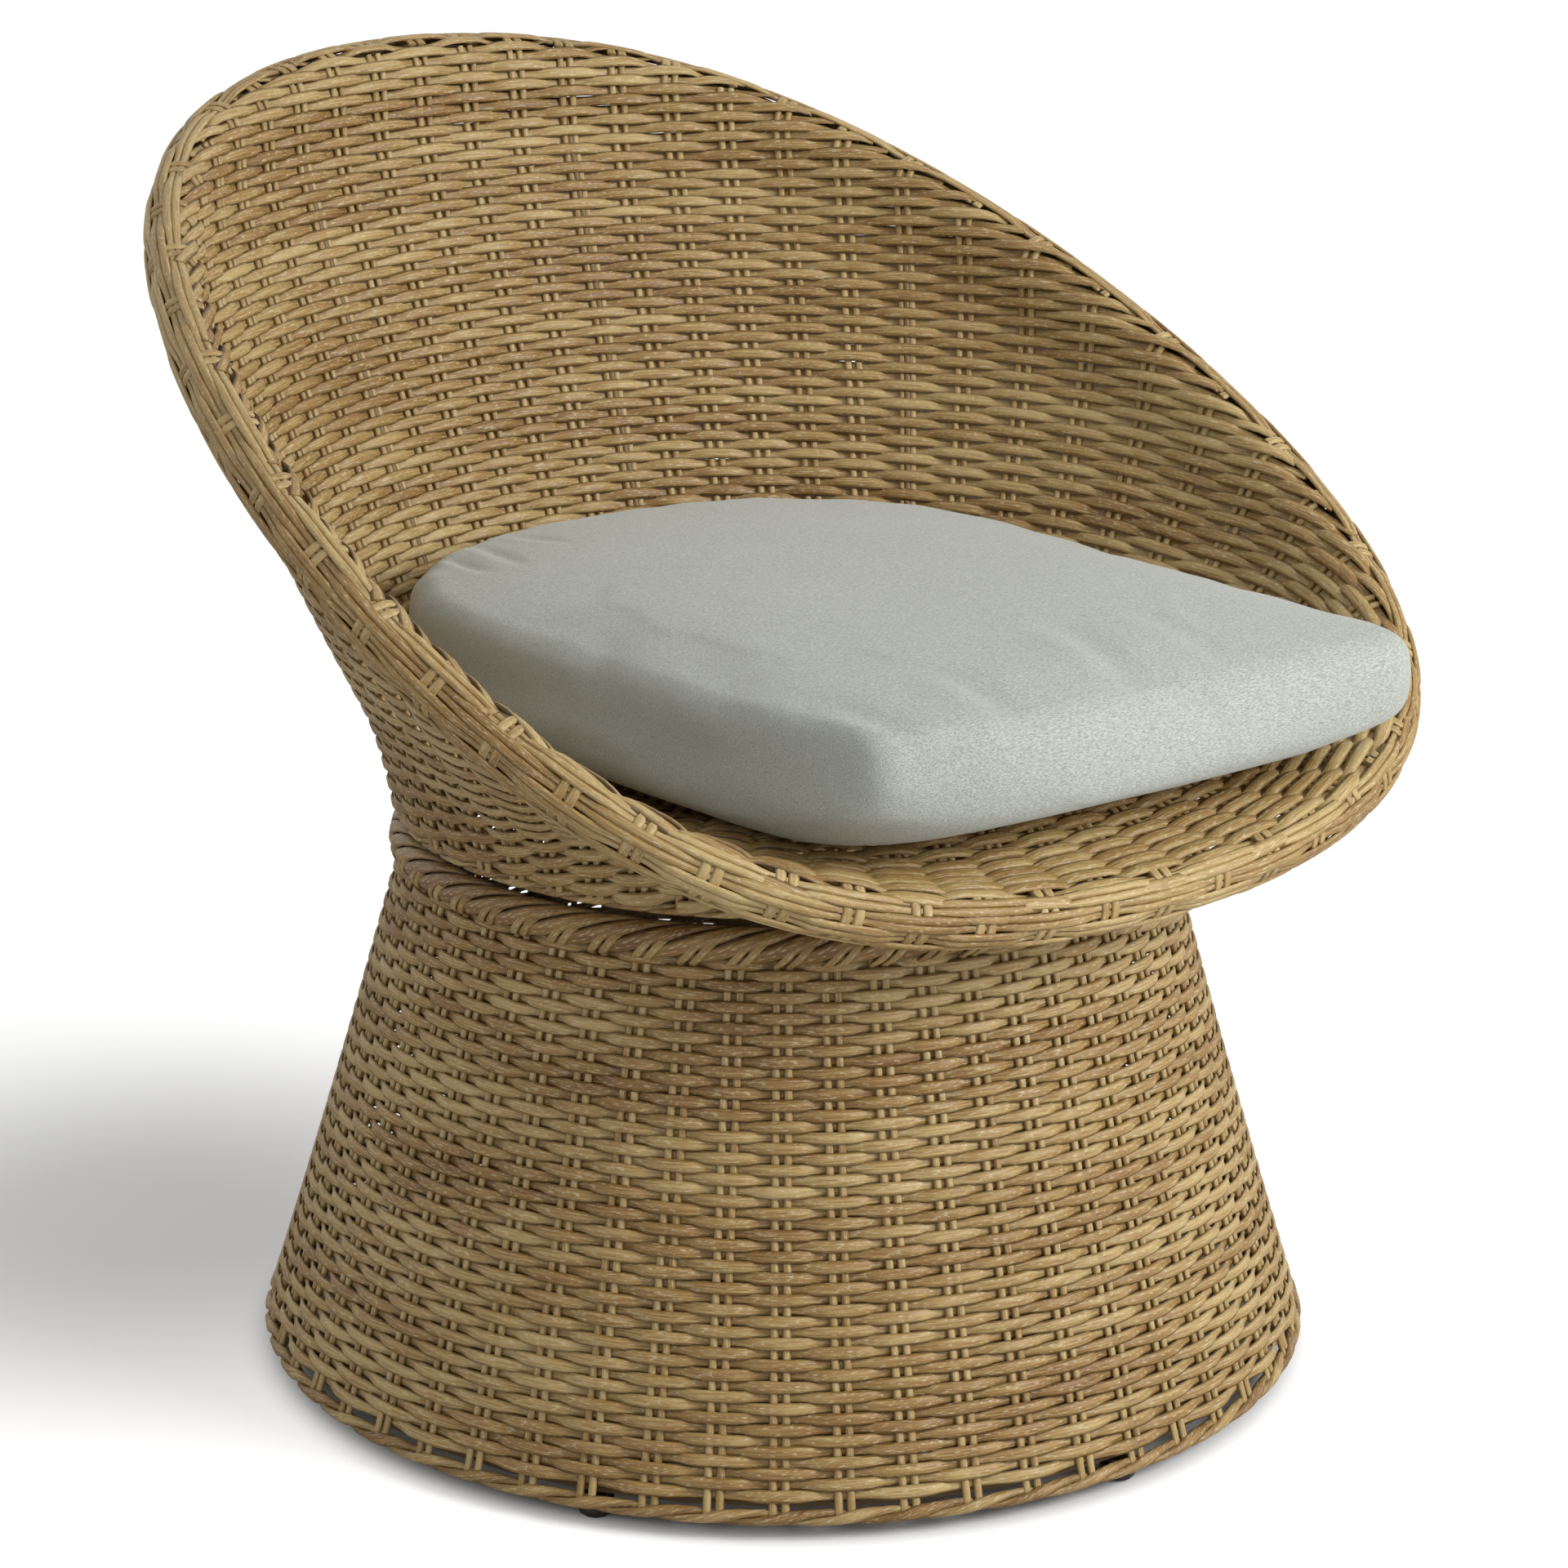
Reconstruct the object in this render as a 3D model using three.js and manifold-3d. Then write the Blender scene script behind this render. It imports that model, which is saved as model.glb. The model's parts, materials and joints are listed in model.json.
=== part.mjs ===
// A swivel papasan chair of woven resin cane over a welded tube frame.
// A flared drum stands on six glides. A ball bearing turntable on its top ring carries a bowl
// whose rim is a large hoop that leans back, and a loose cushion lies on the woven deck inside.
// Millimetres, +Z up, the chair faces -Y. Every piece is placed from the swivel axis, and the
// whole chair is shifted at the end so that the middle of its footprint is the origin.

import * as THREE from 'three';
import { mergeVertices } from 'three/addons/utils/BufferGeometryUtils.js';
import Module from 'manifold-3d';

const wasm = await Module();
wasm.setup();

// Clearance left between neighbours that touch on the real chair, and the overrun of a cutter
const clearance = 0.3;
const overrun = 4;

// Woven skin: two crossing layers of cane. The weavers stand out in ribs over the pairs of stakes
// that they cross, with a groove between one pair and the next.
const skin_thickness = 8;
const rib_depth = 2.5;
const stakes_per_upright = 9;
const stakes_per_rod = 6;

// Base drum, measured on the outside of the weave
const base_bottom_radius = 330;
const base_middle_radius = 281;
const base_top_radius = 244;
const base_height = 338;
const base_edge_height = 10;

// Base frame of round tube
const base_tube_diameter = 16;
const base_ring_lift = 12;
const upright_diameter = 14;
const upright_count = 6;

// Braided border that folds over the top ring, and the twined rows along the bottom edge
const border_strand_thickness = 3.7;
const border_end_angle = THREE.MathUtils.degToRad(118);
const edge_row_height = 8;
const edge_row_width = 10;

// Moulded glides, one under each upright, each with a stem pushed up into the bottom ring
const glide_diameter = 22;
const glide_foot_diameter = 14;
const glide_dome_height = 5;
const glide_stem_diameter = 6;
const glide_stem_length = 9;
const glide_stem_taper = 1.2;

// Square tubes that carry the turntable, under it and over it
const bar_spacing = 140;
const base_bar_side = 25;
const seat_bar_side = 25;
const bar_wall = 2;
const base_bar_drop = 2;

// Turntable: two pressed plates, a ring of balls clipped in a retainer, and a tubular rivet
const plate_side = 200;
const plate_corner_radius = 14;
const plate_thickness = 2;
const turntable_height = 13;
const ball_diameter = 7;
const ball_count = 8;
const race_radius = 55;
const race_width = 13;
const race_lip_gap = 2.4;
const retainer_thickness = 1.5;
const rivet_diameter = 28;
const rivet_bore_diameter = 22;
const rivet_flange_width = 4;
const rivet_flange_thickness = 1.2;
const plate_screw_spacing = 160;
const plate_screw_diameter = 5;
const plate_screw_head_diameter = 10;
const plate_screw_head_height = 3;
const plate_screw_length = 12;

// Gap between the base border and the bowl border, which the turntable holds open
const bowl_gap = 7;

// Bowl frame: bottom ring, steel rods woven in as stakes, and the rim hoop
const bowl_ring_radius = 226;
const bowl_tube_diameter = 16;
const bowl_border_end_angle = THREE.MathUtils.degToRad(112);
const rod_diameter = 5;
const rod_count = 9;
const bowl_bulge = 7;

// Rim hoop: a nearly flat hoop that leans back, a little fuller at the front
const rim_half_width = 345;
const rim_half_depth = 377;
const rim_rise_over_base = 222;
const rim_half_rise = 204;
const rim_back_shift = 21;
const rim_egg_share = 0.04;
const rim_back_point_share = 0.038;
const rim_front_flat_share = 0.058;
const rim_side_dip_share = 0.042;
const rim_tube_diameter = 18;
const rim_wrap_thickness = 10;

// Seat deck: a ring with four cross tubes under a woven panel
const deck_ring_inset = 18;
const deck_tube_diameter = 16;
const deck_bar_count = 4;
const deck_bar_spacing = 70;
const deck_panel_thickness = 8;
const deck_skirt_depth = 12;

// Cushion: a foam core in a zipped cover, square to the front and round at the back
const cushion_front_width = 420;
const cushion_back_width = 436;
const cushion_front_reach = 330;
const cushion_back_reach = 218;
const cushion_front_bow = 5;
const cushion_side_bow = 4;
const cushion_back_bow = 4;
const cushion_front_corner_radius = 30;
const cushion_back_corner_radius = 180;
const cushion_side_draw = 31;
const cushion_under_round = 60;
const cushion_side_height = 59;
const cushion_crown = 12;
const cushion_belly = 30;
const cushion_cover_thickness = 2;
const zip_length = 300;
const zip_width = 5;

// Facets: columns round a hoop between one upright or rod and the next, sides of a tube, and
// rows of points up a woven wall, where three are the least that hold the drum's flare
const columns_per_upright = 6;
const columns_per_rod = 4;
const turntable_sides = 24;
const rivet_sides = 12;
const tube_sides = 8;
const rod_sides = 6;
const glide_sides = 10;
const ball_sides = 8;
const track_steps = 5;
const plate_corner_steps = 4;
const base_rows = 3;
const bowl_rows = 5;
const cushion_side_steps = 7;
const cushion_corner_steps = 3;
const base_border_steps = 8;
const bowl_border_steps = 7;
const rim_wrap_steps = 11;

// Shares that shape small rounds
const wrap_inner_step_share = 0.6;
const glide_dome_share = 0.35;
const screw_head_top_share = 0.6;
const deck_round_share = 0.6;
const edge_row_round_share = 0.25;

// Steps for a slope or a tangent, in radians or as a share, and the tolerance of a merge
const small_step_share = 1e-4;
const merge_tolerance = 1e-4;

const materials = {
  weave: { color: 0xa48a58, roughness: 0.55, metalness: 0 },
  frame: { color: 0x2b2623, roughness: 0.5, metalness: 0.4 },
  zinc: { color: 0xb9bcbd, roughness: 0.38, metalness: 0.9 },
  steel: { color: 0xd2d4d6, roughness: 0.2, metalness: 1 },
  glide: { color: 0x241d1a, roughness: 0.45, metalness: 0 },
  fabric: { color: 0xb4b8ae, roughness: 0.95, metalness: 0 },
  foam: { color: 0xd9cf9c, roughness: 1, metalness: 0 },
  zip: { color: 0x9da198, roughness: 0.6, metalness: 0 },
};

// Sizes worked out from the named ones
const base_columns = upright_count * columns_per_upright;
const bowl_columns = rod_count * columns_per_rod;
const skin_half = skin_thickness / 2;
const base_tube_radius = base_tube_diameter / 2;
const bowl_tube_radius = bowl_tube_diameter / 2;
const rim_tube_radius = rim_tube_diameter / 2;
const deck_tube_radius = deck_tube_diameter / 2;
const base_border_radius = base_tube_radius + clearance + border_strand_thickness;
const bowl_border_radius = bowl_tube_radius + clearance + border_strand_thickness;
const rim_wrap_radius = rim_tube_radius + clearance + rim_wrap_thickness;
const top_ring_radius = base_top_radius - base_border_radius;
const top_ring_height = base_height - base_border_radius;
const base_bar_top = base_height - base_bar_drop;
const turntable_bottom = base_bar_top + clearance;
const turntable_top = turntable_bottom + turntable_height;
const ball_height = turntable_bottom + turntable_height / 2;
const seat_bar_bottom = turntable_top + clearance;
const seat_bar_top = seat_bar_bottom + seat_bar_side;
const bowl_ring_height = base_height + bowl_gap + bowl_border_radius;
const deck_ring_radius = bowl_ring_radius - deck_ring_inset;
const deck_ring_height = seat_bar_top + clearance + deck_tube_radius;
const deck_bottom = deck_ring_height + deck_tube_radius + clearance;
const deck_top = deck_bottom + deck_panel_thickness;
const rim_middle_height = base_height + rim_rise_over_base;
const rim_egg = rim_half_width * rim_egg_share;
const rim_back_point = rim_half_depth * rim_back_point_share;
const rim_front_flat = rim_half_depth * rim_front_flat_share;
const rim_side_dip = rim_half_rise * rim_side_dip_share;
const footprint_shift = rim_back_shift + rim_back_point;

// Joins rings of points, each with as many points as the next, into one closed solid.
// A loop joins the last ring to the first. An open run gets a fan over each end.
function loft(rings, closed_loop) {
  const per_ring = rings[0].length;
  const positions = rings.flat().flatMap((point) => [point.x, point.y, point.z]);
  const faces = [];
  const spans = closed_loop ? rings.length : rings.length - 1;
  for (let i = 0; i < spans; i += 1) {
    const here = i * per_ring;
    const next = ((i + 1) % rings.length) * per_ring;
    for (let j = 0; j < per_ring; j += 1) {
      const k = (j + 1) % per_ring;
      faces.push(here + j, here + k, next + k, here + j, next + k, next + j);
    }
  }
  if (!closed_loop) {
    const last = (rings.length - 1) * per_ring;
    for (let j = 1; j < per_ring - 1; j += 1) {
      faces.push(0, j + 1, j);
      faces.push(last, last + j, last + j + 1);
    }
  }
  return outward(positions, faces);
}

// Builds the geometry, turned inside out if its volume comes out negative
function outward(positions, faces) {
  const corner = (index) => new THREE.Vector3().fromArray(positions, index * 3);
  let volume = 0;
  for (let i = 0; i < faces.length; i += 3) {
    const side = corner(faces[i + 1]).cross(corner(faces[i + 2]));
    volume += corner(faces[i]).dot(side);
  }
  if (volume < 0) {
    faces.reverse();
  }
  const geometry = new THREE.BufferGeometry();
  geometry.setAttribute('position', new THREE.Float32BufferAttribute(positions, 3));
  geometry.setIndex(faces);
  return geometry;
}

function toSolid(geometry) {
  const merged = mergeVertices(bareCopy(geometry), merge_tolerance);
  return new wasm.Manifold(new wasm.Mesh({
    numProp: 3,
    vertProperties: Float32Array.from(merged.attributes.position.array),
    triVerts: Uint32Array.from(merged.index.array),
  }));
}

function toGeometry(solid) {
  const mesh = solid.getMesh();
  const geometry = new THREE.BufferGeometry();
  geometry.setAttribute('position', new THREE.BufferAttribute(mesh.vertProperties, 3));
  geometry.setIndex(new THREE.BufferAttribute(mesh.triVerts, 1));
  return geometry;
}

function cut(geometry, cutters) {
  return toGeometry(cutters.reduce((solid, cutter) => solid.subtract(toSolid(cutter)), toSolid(geometry)));
}

function join(parts) {
  return toGeometry(parts.slice(1).reduce((solid, part) => solid.add(toSolid(part)), toSolid(parts[0])));
}

function keepInside(geometry, keeper) {
  return toGeometry(toSolid(geometry).intersect(toSolid(keeper)));
}

function bareCopy(geometry) {
  const bare = geometry.clone();
  bare.deleteAttribute('normal');
  bare.deleteAttribute('uv');
  return bare;
}

// A point on a circle round the swivel axis. Angle 0 is the front, and it grows towards +X.
function around(angle, radius, height) {
  return new THREE.Vector3(radius * Math.sin(angle), -radius * Math.cos(angle), height);
}

// Evenly spaced values that include both ends
function spread(from, to, count) {
  return Array.from({ length: count }, (_, i) => from + ((to - from) * i) / (count - 1));
}

function angles(count) {
  return Array.from({ length: count }, (_, i) => (2 * Math.PI * i) / count);
}

// A lathe about the vertical through (x, y), from radius and height pairs
function turned(profile, sides, x = 0, y = 0) {
  const points = profile.map(([radius, height]) => new THREE.Vector2(radius, height));
  const geometry = new THREE.LatheGeometry(points, sides);
  geometry.rotateX(Math.PI / 2);
  const merged = mergeVertices(bareCopy(geometry), merge_tolerance);
  const places = Array.from(merged.attributes.position.array);
  const kept = [];
  const index = merged.index.array;
  for (let i = 0; i < index.length; i += 3) {
    const [a, b, c] = [index[i], index[i + 1], index[i + 2]];
    if (a !== b && b !== c && c !== a) {
      kept.push(a, b, c);
    }
  }
  return outward(places, kept).translate(x, y, 0);
}

// The chair's surfaces

// Radius of the middle of the base weave at a height: a flare through three radii
function baseSkinRadius(height) {
  const low = base_bottom_radius - skin_half;
  const mid = base_middle_radius - skin_half;
  const share = (height - base_edge_height) / (top_ring_height - base_edge_height);
  const at_low = low * (1 - share) * (1 - 2 * share);
  const at_mid = 4 * mid * share * (1 - share);
  const at_top = top_ring_radius * share * (2 * share - 1);
  return at_low + at_mid + at_top;
}

// How fast that radius changes with height
function baseSlope(height) {
  return (baseSkinRadius(height + clearance) - baseSkinRadius(height - clearance)) / (2 * clearance);
}

// Radius at which something lies inside the base weave, so far from its middle
function insideBase(height, distance) {
  return baseSkinRadius(height) - distance * Math.hypot(1, baseSlope(height));
}

// A point square out from the middle of the base weave
function baseFace(height, distance) {
  const slope = baseSlope(height);
  const lean = Math.hypot(1, slope);
  return [baseSkinRadius(height) + distance / lean, height - (slope * distance) / lean];
}

function rimPoint(angle) {
  const side = rim_half_width * Math.sin(angle) + rim_egg * Math.sin(2 * angle);
  const depth = rim_back_shift - rim_half_depth * Math.cos(angle)
    + rim_back_point * Math.cos(2 * angle) + rim_front_flat * Math.cos(3 * angle);
  const height = rim_middle_height - rim_half_rise * Math.cos(angle) + rim_side_dip * Math.cos(3 * angle);
  return new THREE.Vector3(side, depth, height);
}

// The middle of the bowl weave: share 0 is the bottom ring and share 1 is the rim hoop
function bowlPoint(angle, share) {
  const low = around(angle, bowl_ring_radius, bowl_ring_height);
  const high = rimPoint(angle);
  const straight = low.clone().lerp(high, share);
  const outwards = around(angle, 1, 0);
  const run = high.clone().sub(low);
  const away = outwards.multiplyScalar(run.z).add(new THREE.Vector3(0, 0, -Math.hypot(run.x, run.y)));
  return straight.addScaledVector(away.normalize(), 4 * bowl_bulge * share * (1 - share));
}

// Directions on the bowl: round it, up it, and out of its weave
function bowlAxes(angle, share) {
  const step = small_step_share;
  const around_it = bowlPoint(angle + step, share).sub(bowlPoint(angle - step, share)).normalize();
  const up_it = bowlPoint(angle, share + step).sub(bowlPoint(angle, share - step));
  const out = around_it.clone().cross(up_it).normalize();
  const up = out.clone().cross(around_it).normalize();
  const run = up_it.dot(up) / (2 * step);
  return { up, out, run };
}

// The weave stops just short of the tubes at its two edges
function bowlShares(angle, count) {
  const first = (bowl_tube_radius + clearance) / bowlAxes(angle, 0).run;
  const last = 1 - (rim_tube_radius + clearance) / bowlAxes(angle, 1).run;
  return spread(first, last, count);
}

// Parts that follow a ring

// A round tube bent into a closed hoop
function hoop(centre, radius, columns, sides) {
  const rings = angles(columns).map((angle) => {
    const tangent = centre(angle + small_step_share).sub(centre(angle - small_step_share)).normalize();
    const side = new THREE.Vector3(0, 0, 1).cross(tangent).normalize();
    const up = tangent.clone().cross(side);
    return angles(sides).map((turn) => centre(angle)
      .addScaledVector(side, radius * Math.cos(turn))
      .addScaledVector(up, radius * Math.sin(turn)));
  });
  return loft(rings, true);
}

// A wrap of strands round a hoop, left open where the weave comes out. frame(angle) gives two
// directions square to the hoop and the two turns between which the wrap runs.
function wrap(centre, frame, inner, outer, columns, steps) {
  const inner_steps = Math.ceil(steps * wrap_inner_step_share);
  const rings = angles(columns).map((angle) => {
    const { towards, across, from, to } = frame(angle);
    const at = (radius, turn) => centre(angle)
      .addScaledVector(towards, radius * Math.cos(turn))
      .addScaledVector(across, radius * Math.sin(turn));
    const clear = inner / Math.cos((to - from) / (inner_steps - 1) / 2);
    const outside = spread(from, to, steps).map((turn) => at(outer, turn));
    const inside = spread(to, from, inner_steps).map((turn) => at(clear, turn));
    return outside.concat(inside);
  });
  return loft(rings, true);
}

// Half of the angle that the weave takes where it enters a wrap
function slotAngle(inner) {
  return Math.asin((skin_half + clearance) / inner);
}

// Carries a section of the weave round, one column on each pair of stakes and one in each groove.
// section(angle, groove) gives its points, drawn in by the groove's depth. They stay on the flat
// facets between the columns of the hoops that the weave meets.
function ribbed(section, columns, stakes) {
  const rings = Array.from({ length: 2 * stakes }, (_, i) => {
    const place = (i * columns) / (2 * stakes);
    const first = Math.floor(place);
    const groove = (i % 2) * rib_depth;
    const here = section((2 * Math.PI * first) / columns, groove);
    const next = section((2 * Math.PI * (first + 1)) / columns, groove);
    return here.map((point, j) => point.clone().lerp(next[j], place - first));
  });
  return loft(rings, true);
}

// A rod along a run of points, with its width turned to face out
function rodAlong(points, outs, radius) {
  const rings = points.map((point, i) => {
    const before = points[Math.max(i - 1, 0)];
    const after = points[Math.min(i + 1, points.length - 1)];
    const along = after.clone().sub(before).normalize();
    const side = along.clone().cross(outs[i]).normalize();
    const out = side.clone().cross(along);
    return angles(rod_sides).map((turn) => point.clone()
      .addScaledVector(out, radius * Math.cos(turn))
      .addScaledVector(side, radius * Math.sin(turn)));
  });
  return loft(rings, false);
}

// Base pieces

function baseSkin() {
  const bottom = base_edge_height + edge_row_height + clearance;
  const top = top_ring_height - (base_tube_radius + clearance) / Math.hypot(1, baseSlope(top_ring_height));
  const upper = spread(bottom, top, base_rows).slice(1);
  const section = (angle, groove) => {
    const half = skin_half - groove;
    const outside = upper.map((height) => baseFace(height, half));
    const inside = upper.map((height) => baseFace(height, -half)).reverse();
    const low_outside = [insideBase(bottom, -half), bottom];
    const low_inside = [insideBase(bottom, half), bottom];
    const profile = [low_outside, ...outside, ...inside, low_inside];
    return profile.map(([radius, height]) => around(angle, radius, height));
  };
  return ribbed(section, base_columns, upright_count * stakes_per_upright);
}

// A closed profile of radius and height pairs carried round the swivel axis
function hoopOfProfile(profile, columns) {
  const section = (angle) => profile.map(([radius, height]) => around(angle, radius, height));
  return loft(angles(columns).map(section), true);
}

const topRingCentre = (angle) => around(angle, top_ring_radius, top_ring_height);

function baseTopBorder() {
  const slope = baseSlope(top_ring_height);
  const inner = base_tube_radius + clearance;
  const frame = (angle) => ({
    towards: around(angle, 1, 0),
    across: new THREE.Vector3(0, 0, 1),
    from: Math.atan2(-1, -slope) + slotAngle(inner),
    to: border_end_angle,
  });
  return wrap(topRingCentre, frame, inner, base_border_radius, base_columns, base_border_steps);
}

function baseBottomBorder() {
  const middle = baseSkinRadius(base_edge_height + edge_row_height / 2);
  const half = edge_row_width / 2;
  const low = base_edge_height;
  const high = base_edge_height + edge_row_height;
  const round = edge_row_height * edge_row_round_share;
  return hoopOfProfile([
    [middle - half + round, low],
    [middle + half - round, low],
    [middle + half, (low + high) / 2],
    [middle + half - round, high],
    [middle - half + round, high],
    [middle - half, (low + high) / 2],
  ], base_columns);
}

const bottom_ring_height = base_edge_height + base_ring_lift;
const bottom_ring_inset = edge_row_width / 2 + clearance + base_tube_radius;
const bottom_ring_radius = insideBase(bottom_ring_height, bottom_ring_inset);
const bottomRingCentre = (angle) => around(angle, bottom_ring_radius, bottom_ring_height);
const glide_top = bottom_ring_height - base_tube_radius - clearance;

function baseBottomRing() {
  const hole = glide_stem_diameter / 2 + clearance;
  const depth = glide_top + glide_stem_length + clearance;
  const holes = angles(upright_count).map((angle) => {
    const place = bottomRingCentre(angle);
    return turned([[0, 0], [hole, 0], [hole, depth], [0, depth]], tube_sides, place.x, place.y);
  });
  return cut(hoop(bottomRingCentre, base_tube_radius, base_columns, tube_sides), holes);
}

function baseUpright(angle) {
  const inset = skin_half + clearance + upright_diameter / 2;
  const heights = spread(bottom_ring_height, top_ring_height, base_rows);
  const points = heights.map((height) => around(angle, insideBase(height, inset), height));
  const outs = heights.map(() => around(angle, 1, 0));
  const blank = rodAlong(points, outs, upright_diameter / 2);
  const grown = base_tube_radius + 2 * clearance;
  return cut(blank, [
    hoop(bottomRingCentre, grown, base_columns, tube_sides),
    hoop(topRingCentre, grown, base_columns, tube_sides),
  ]);
}

function glide(angle) {
  const place = bottomRingCentre(angle);
  const foot = glide_foot_diameter / 2;
  const dome = glide_diameter / 2;
  const stem = glide_stem_diameter / 2;
  return turned([
    [0, 0],
    [foot, 0],
    [(foot + 2 * dome) / 3, glide_dome_height * glide_dome_share],
    [dome, glide_dome_height],
    [dome, base_edge_height - clearance],
    [base_tube_radius - clearance, base_edge_height - clearance],
    [base_tube_radius - clearance, glide_top],
    [stem, glide_top],
    [stem, glide_top + glide_stem_length - glide_stem_taper],
    [stem - glide_stem_taper, glide_top + glide_stem_length],
    [0, glide_top + glide_stem_length],
  ], glide_sides, place.x, place.y);
}

// A square tube laid front to back, cut to the inside of a ring, with screw holes in one wall
function crossBar(side, x, bottom, reach, hole_height, columns) {
  const outer = new THREE.Shape(squarePoints(side));
  outer.holes.push(new THREE.Path(squarePoints(side - 2 * bar_wall)));
  const blank = new THREE.ExtrudeGeometry(outer, { depth: 2 * reach, bevelEnabled: false, steps: 1 });
  blank.translate(0, 0, -reach).rotateX(Math.PI / 2).translate(x, 0, bottom + side / 2);
  const disc = turned([
    [0, bottom - overrun],
    [reach, bottom - overrun],
    [reach, bottom + side + overrun],
    [0, bottom + side + overrun],
  ], columns);
  const hole = plate_screw_diameter / 2 + clearance;
  const holes = [-1, 1].map((end) => turned([
    [0, hole_height - bar_wall / 2 - overrun / 4],
    [hole, hole_height - bar_wall / 2 - overrun / 4],
    [hole, hole_height + bar_wall / 2 + overrun / 4],
    [0, hole_height + bar_wall / 2 + overrun / 4],
  ], rod_sides, x, (end * plate_screw_spacing) / 2));
  return cut(keepInside(blank, disc), holes);
}

const unit_corners = [[-1, -1], [1, -1], [1, 1], [-1, 1]];

function squarePoints(side) {
  return unit_corners.map(([x, y]) => new THREE.Vector2((x * side) / 2, (y * side) / 2));
}

// Turntable pieces

function roundHole(x, y, radius, sides) {
  const points = angles(sides).map((angle) => around(angle, radius, 0));
  return new THREE.Path(points.map((point) => new THREE.Vector2(x + point.x, y + point.y)).reverse());
}

// A pressed plate with its ball track. facing is 1 for the lower plate and -1 for the upper. The
// track and the rivet's hole are wide enough for the corners of what turns in them.
function turntablePlate(facing) {
  const outline = new THREE.Shape();
  const half = plate_side / 2;
  const flat = half - plate_corner_radius;
  outline.moveTo(-flat, -half);
  outline.lineTo(flat, -half);
  outline.absarc(flat, -flat, plate_corner_radius, -Math.PI / 2, 0);
  outline.absarc(flat, flat, plate_corner_radius, 0, Math.PI / 2);
  outline.absarc(-flat, flat, plate_corner_radius, Math.PI / 2, Math.PI);
  outline.absarc(-flat, -flat, plate_corner_radius, Math.PI, 1.5 * Math.PI);
  const rivet_hole = (rivet_diameter / 2 + clearance) / Math.cos(Math.PI / rivet_sides);
  outline.holes.push(roundHole(0, 0, rivet_hole, rivet_sides));
  for (const [sx, sy] of unit_corners) {
    const x = (sx * bar_spacing) / 2;
    const y = (sy * plate_screw_spacing) / 2;
    outline.holes.push(roundHole(x, y, plate_screw_diameter / 2 + clearance, rod_sides));
  }
  const plate = new THREE.ExtrudeGeometry(outline, {
    depth: plate_thickness,
    bevelEnabled: false,
    curveSegments: plate_corner_steps,
  });
  const depth = ball_diameter / 2 + clearance;
  const half_width = depth + race_radius * (1 - Math.cos(Math.PI / turntable_sides));
  const lip = turntable_height / 2 - race_lip_gap / 2;
  const reach = Math.asin(race_lip_gap / 2 / depth);
  const track = spread(-reach, -Math.PI + reach, track_steps).map((turn) => [
    race_radius + half_width * Math.cos(turn),
    turntable_height / 2 + depth * Math.sin(turn),
  ]);
  const race = turned([
    [race_radius - race_width / 2, plate_thickness / 2],
    [race_radius + race_width / 2, plate_thickness / 2],
    [race_radius + race_width / 2, lip],
    ...track,
    [race_radius - race_width / 2, lip],
    [race_radius - race_width / 2, plate_thickness / 2],
  ], turntable_sides);
  const whole = join([plate, race]);
  if (facing < 0) {
    whole.rotateX(Math.PI).translate(0, 0, turntable_height);
  }
  return whole.translate(0, 0, turntable_bottom);
}

// The balls sit clipped in a flat retainer ring and travel round with it
function ballRing() {
  const inner = race_radius - race_width / 2;
  const outer = race_radius + race_width / 2;
  const low = ball_height - retainer_thickness / 2;
  const high = ball_height + retainer_thickness / 2;
  const retainer = turned([
    [inner, low],
    [outer, low],
    [outer, high],
    [inner, high],
    [inner, low],
  ], turntable_sides);
  const balls = angles(ball_count).map((angle) => {
    const middle = around(angle, race_radius, ball_height);
    const ball = new THREE.SphereGeometry(ball_diameter / 2, ball_sides, ball_sides - 2);
    return ball.rotateX(Math.PI / 2).translate(middle.x, middle.y, middle.z);
  });
  return join([retainer, ...balls]);
}

// The rivet's two flanges hold the plates together and leave them free to turn
function turntableRivet() {
  const bore = rivet_bore_diameter / 2;
  const body = rivet_diameter / 2;
  const flange = body + rivet_flange_width;
  const low = turntable_bottom - clearance;
  const high = turntable_top + clearance;
  return turned([
    [bore, low - rivet_flange_thickness],
    [flange, low - rivet_flange_thickness],
    [flange, low],
    [body, low],
    [body, high],
    [flange, high],
    [flange, high + rivet_flange_thickness],
    [bore, high + rivet_flange_thickness],
    [bore, low - rivet_flange_thickness],
  ], rivet_sides);
}

// A pan head screw through a plate into a bar. facing is 1 when the head is on top.
function plateScrew(facing, x, y) {
  const head = plate_screw_head_diameter / 2;
  const shank = plate_screw_diameter / 2;
  const seat = plate_thickness + clearance;
  const screw = turned([
    [0, seat - plate_screw_length],
    [shank, seat - plate_screw_length],
    [shank, seat],
    [head, seat],
    [head, seat + plate_screw_head_height / 2],
    [head * screw_head_top_share, seat + plate_screw_head_height],
    [0, seat + plate_screw_head_height],
  ], rod_sides);
  if (facing < 0) {
    screw.rotateX(Math.PI).translate(0, 0, turntable_height);
  }
  return screw.translate(x, y, turntable_bottom);
}

// Bowl pieces

const bowlRingCentre = (angle) => around(angle, bowl_ring_radius, bowl_ring_height);

function bowlBottomBorder() {
  const inner = bowl_tube_radius + clearance;
  const frame = (angle) => {
    const towards = around(angle, 1, 0);
    const { up } = bowlAxes(angle, 0);
    return {
      towards,
      across: new THREE.Vector3(0, 0, -1),
      from: Math.atan2(-up.z, up.dot(towards)) + slotAngle(inner),
      to: bowl_border_end_angle,
    };
  };
  return wrap(bowlRingCentre, frame, inner, bowl_border_radius, bowl_columns, bowl_border_steps);
}

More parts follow.
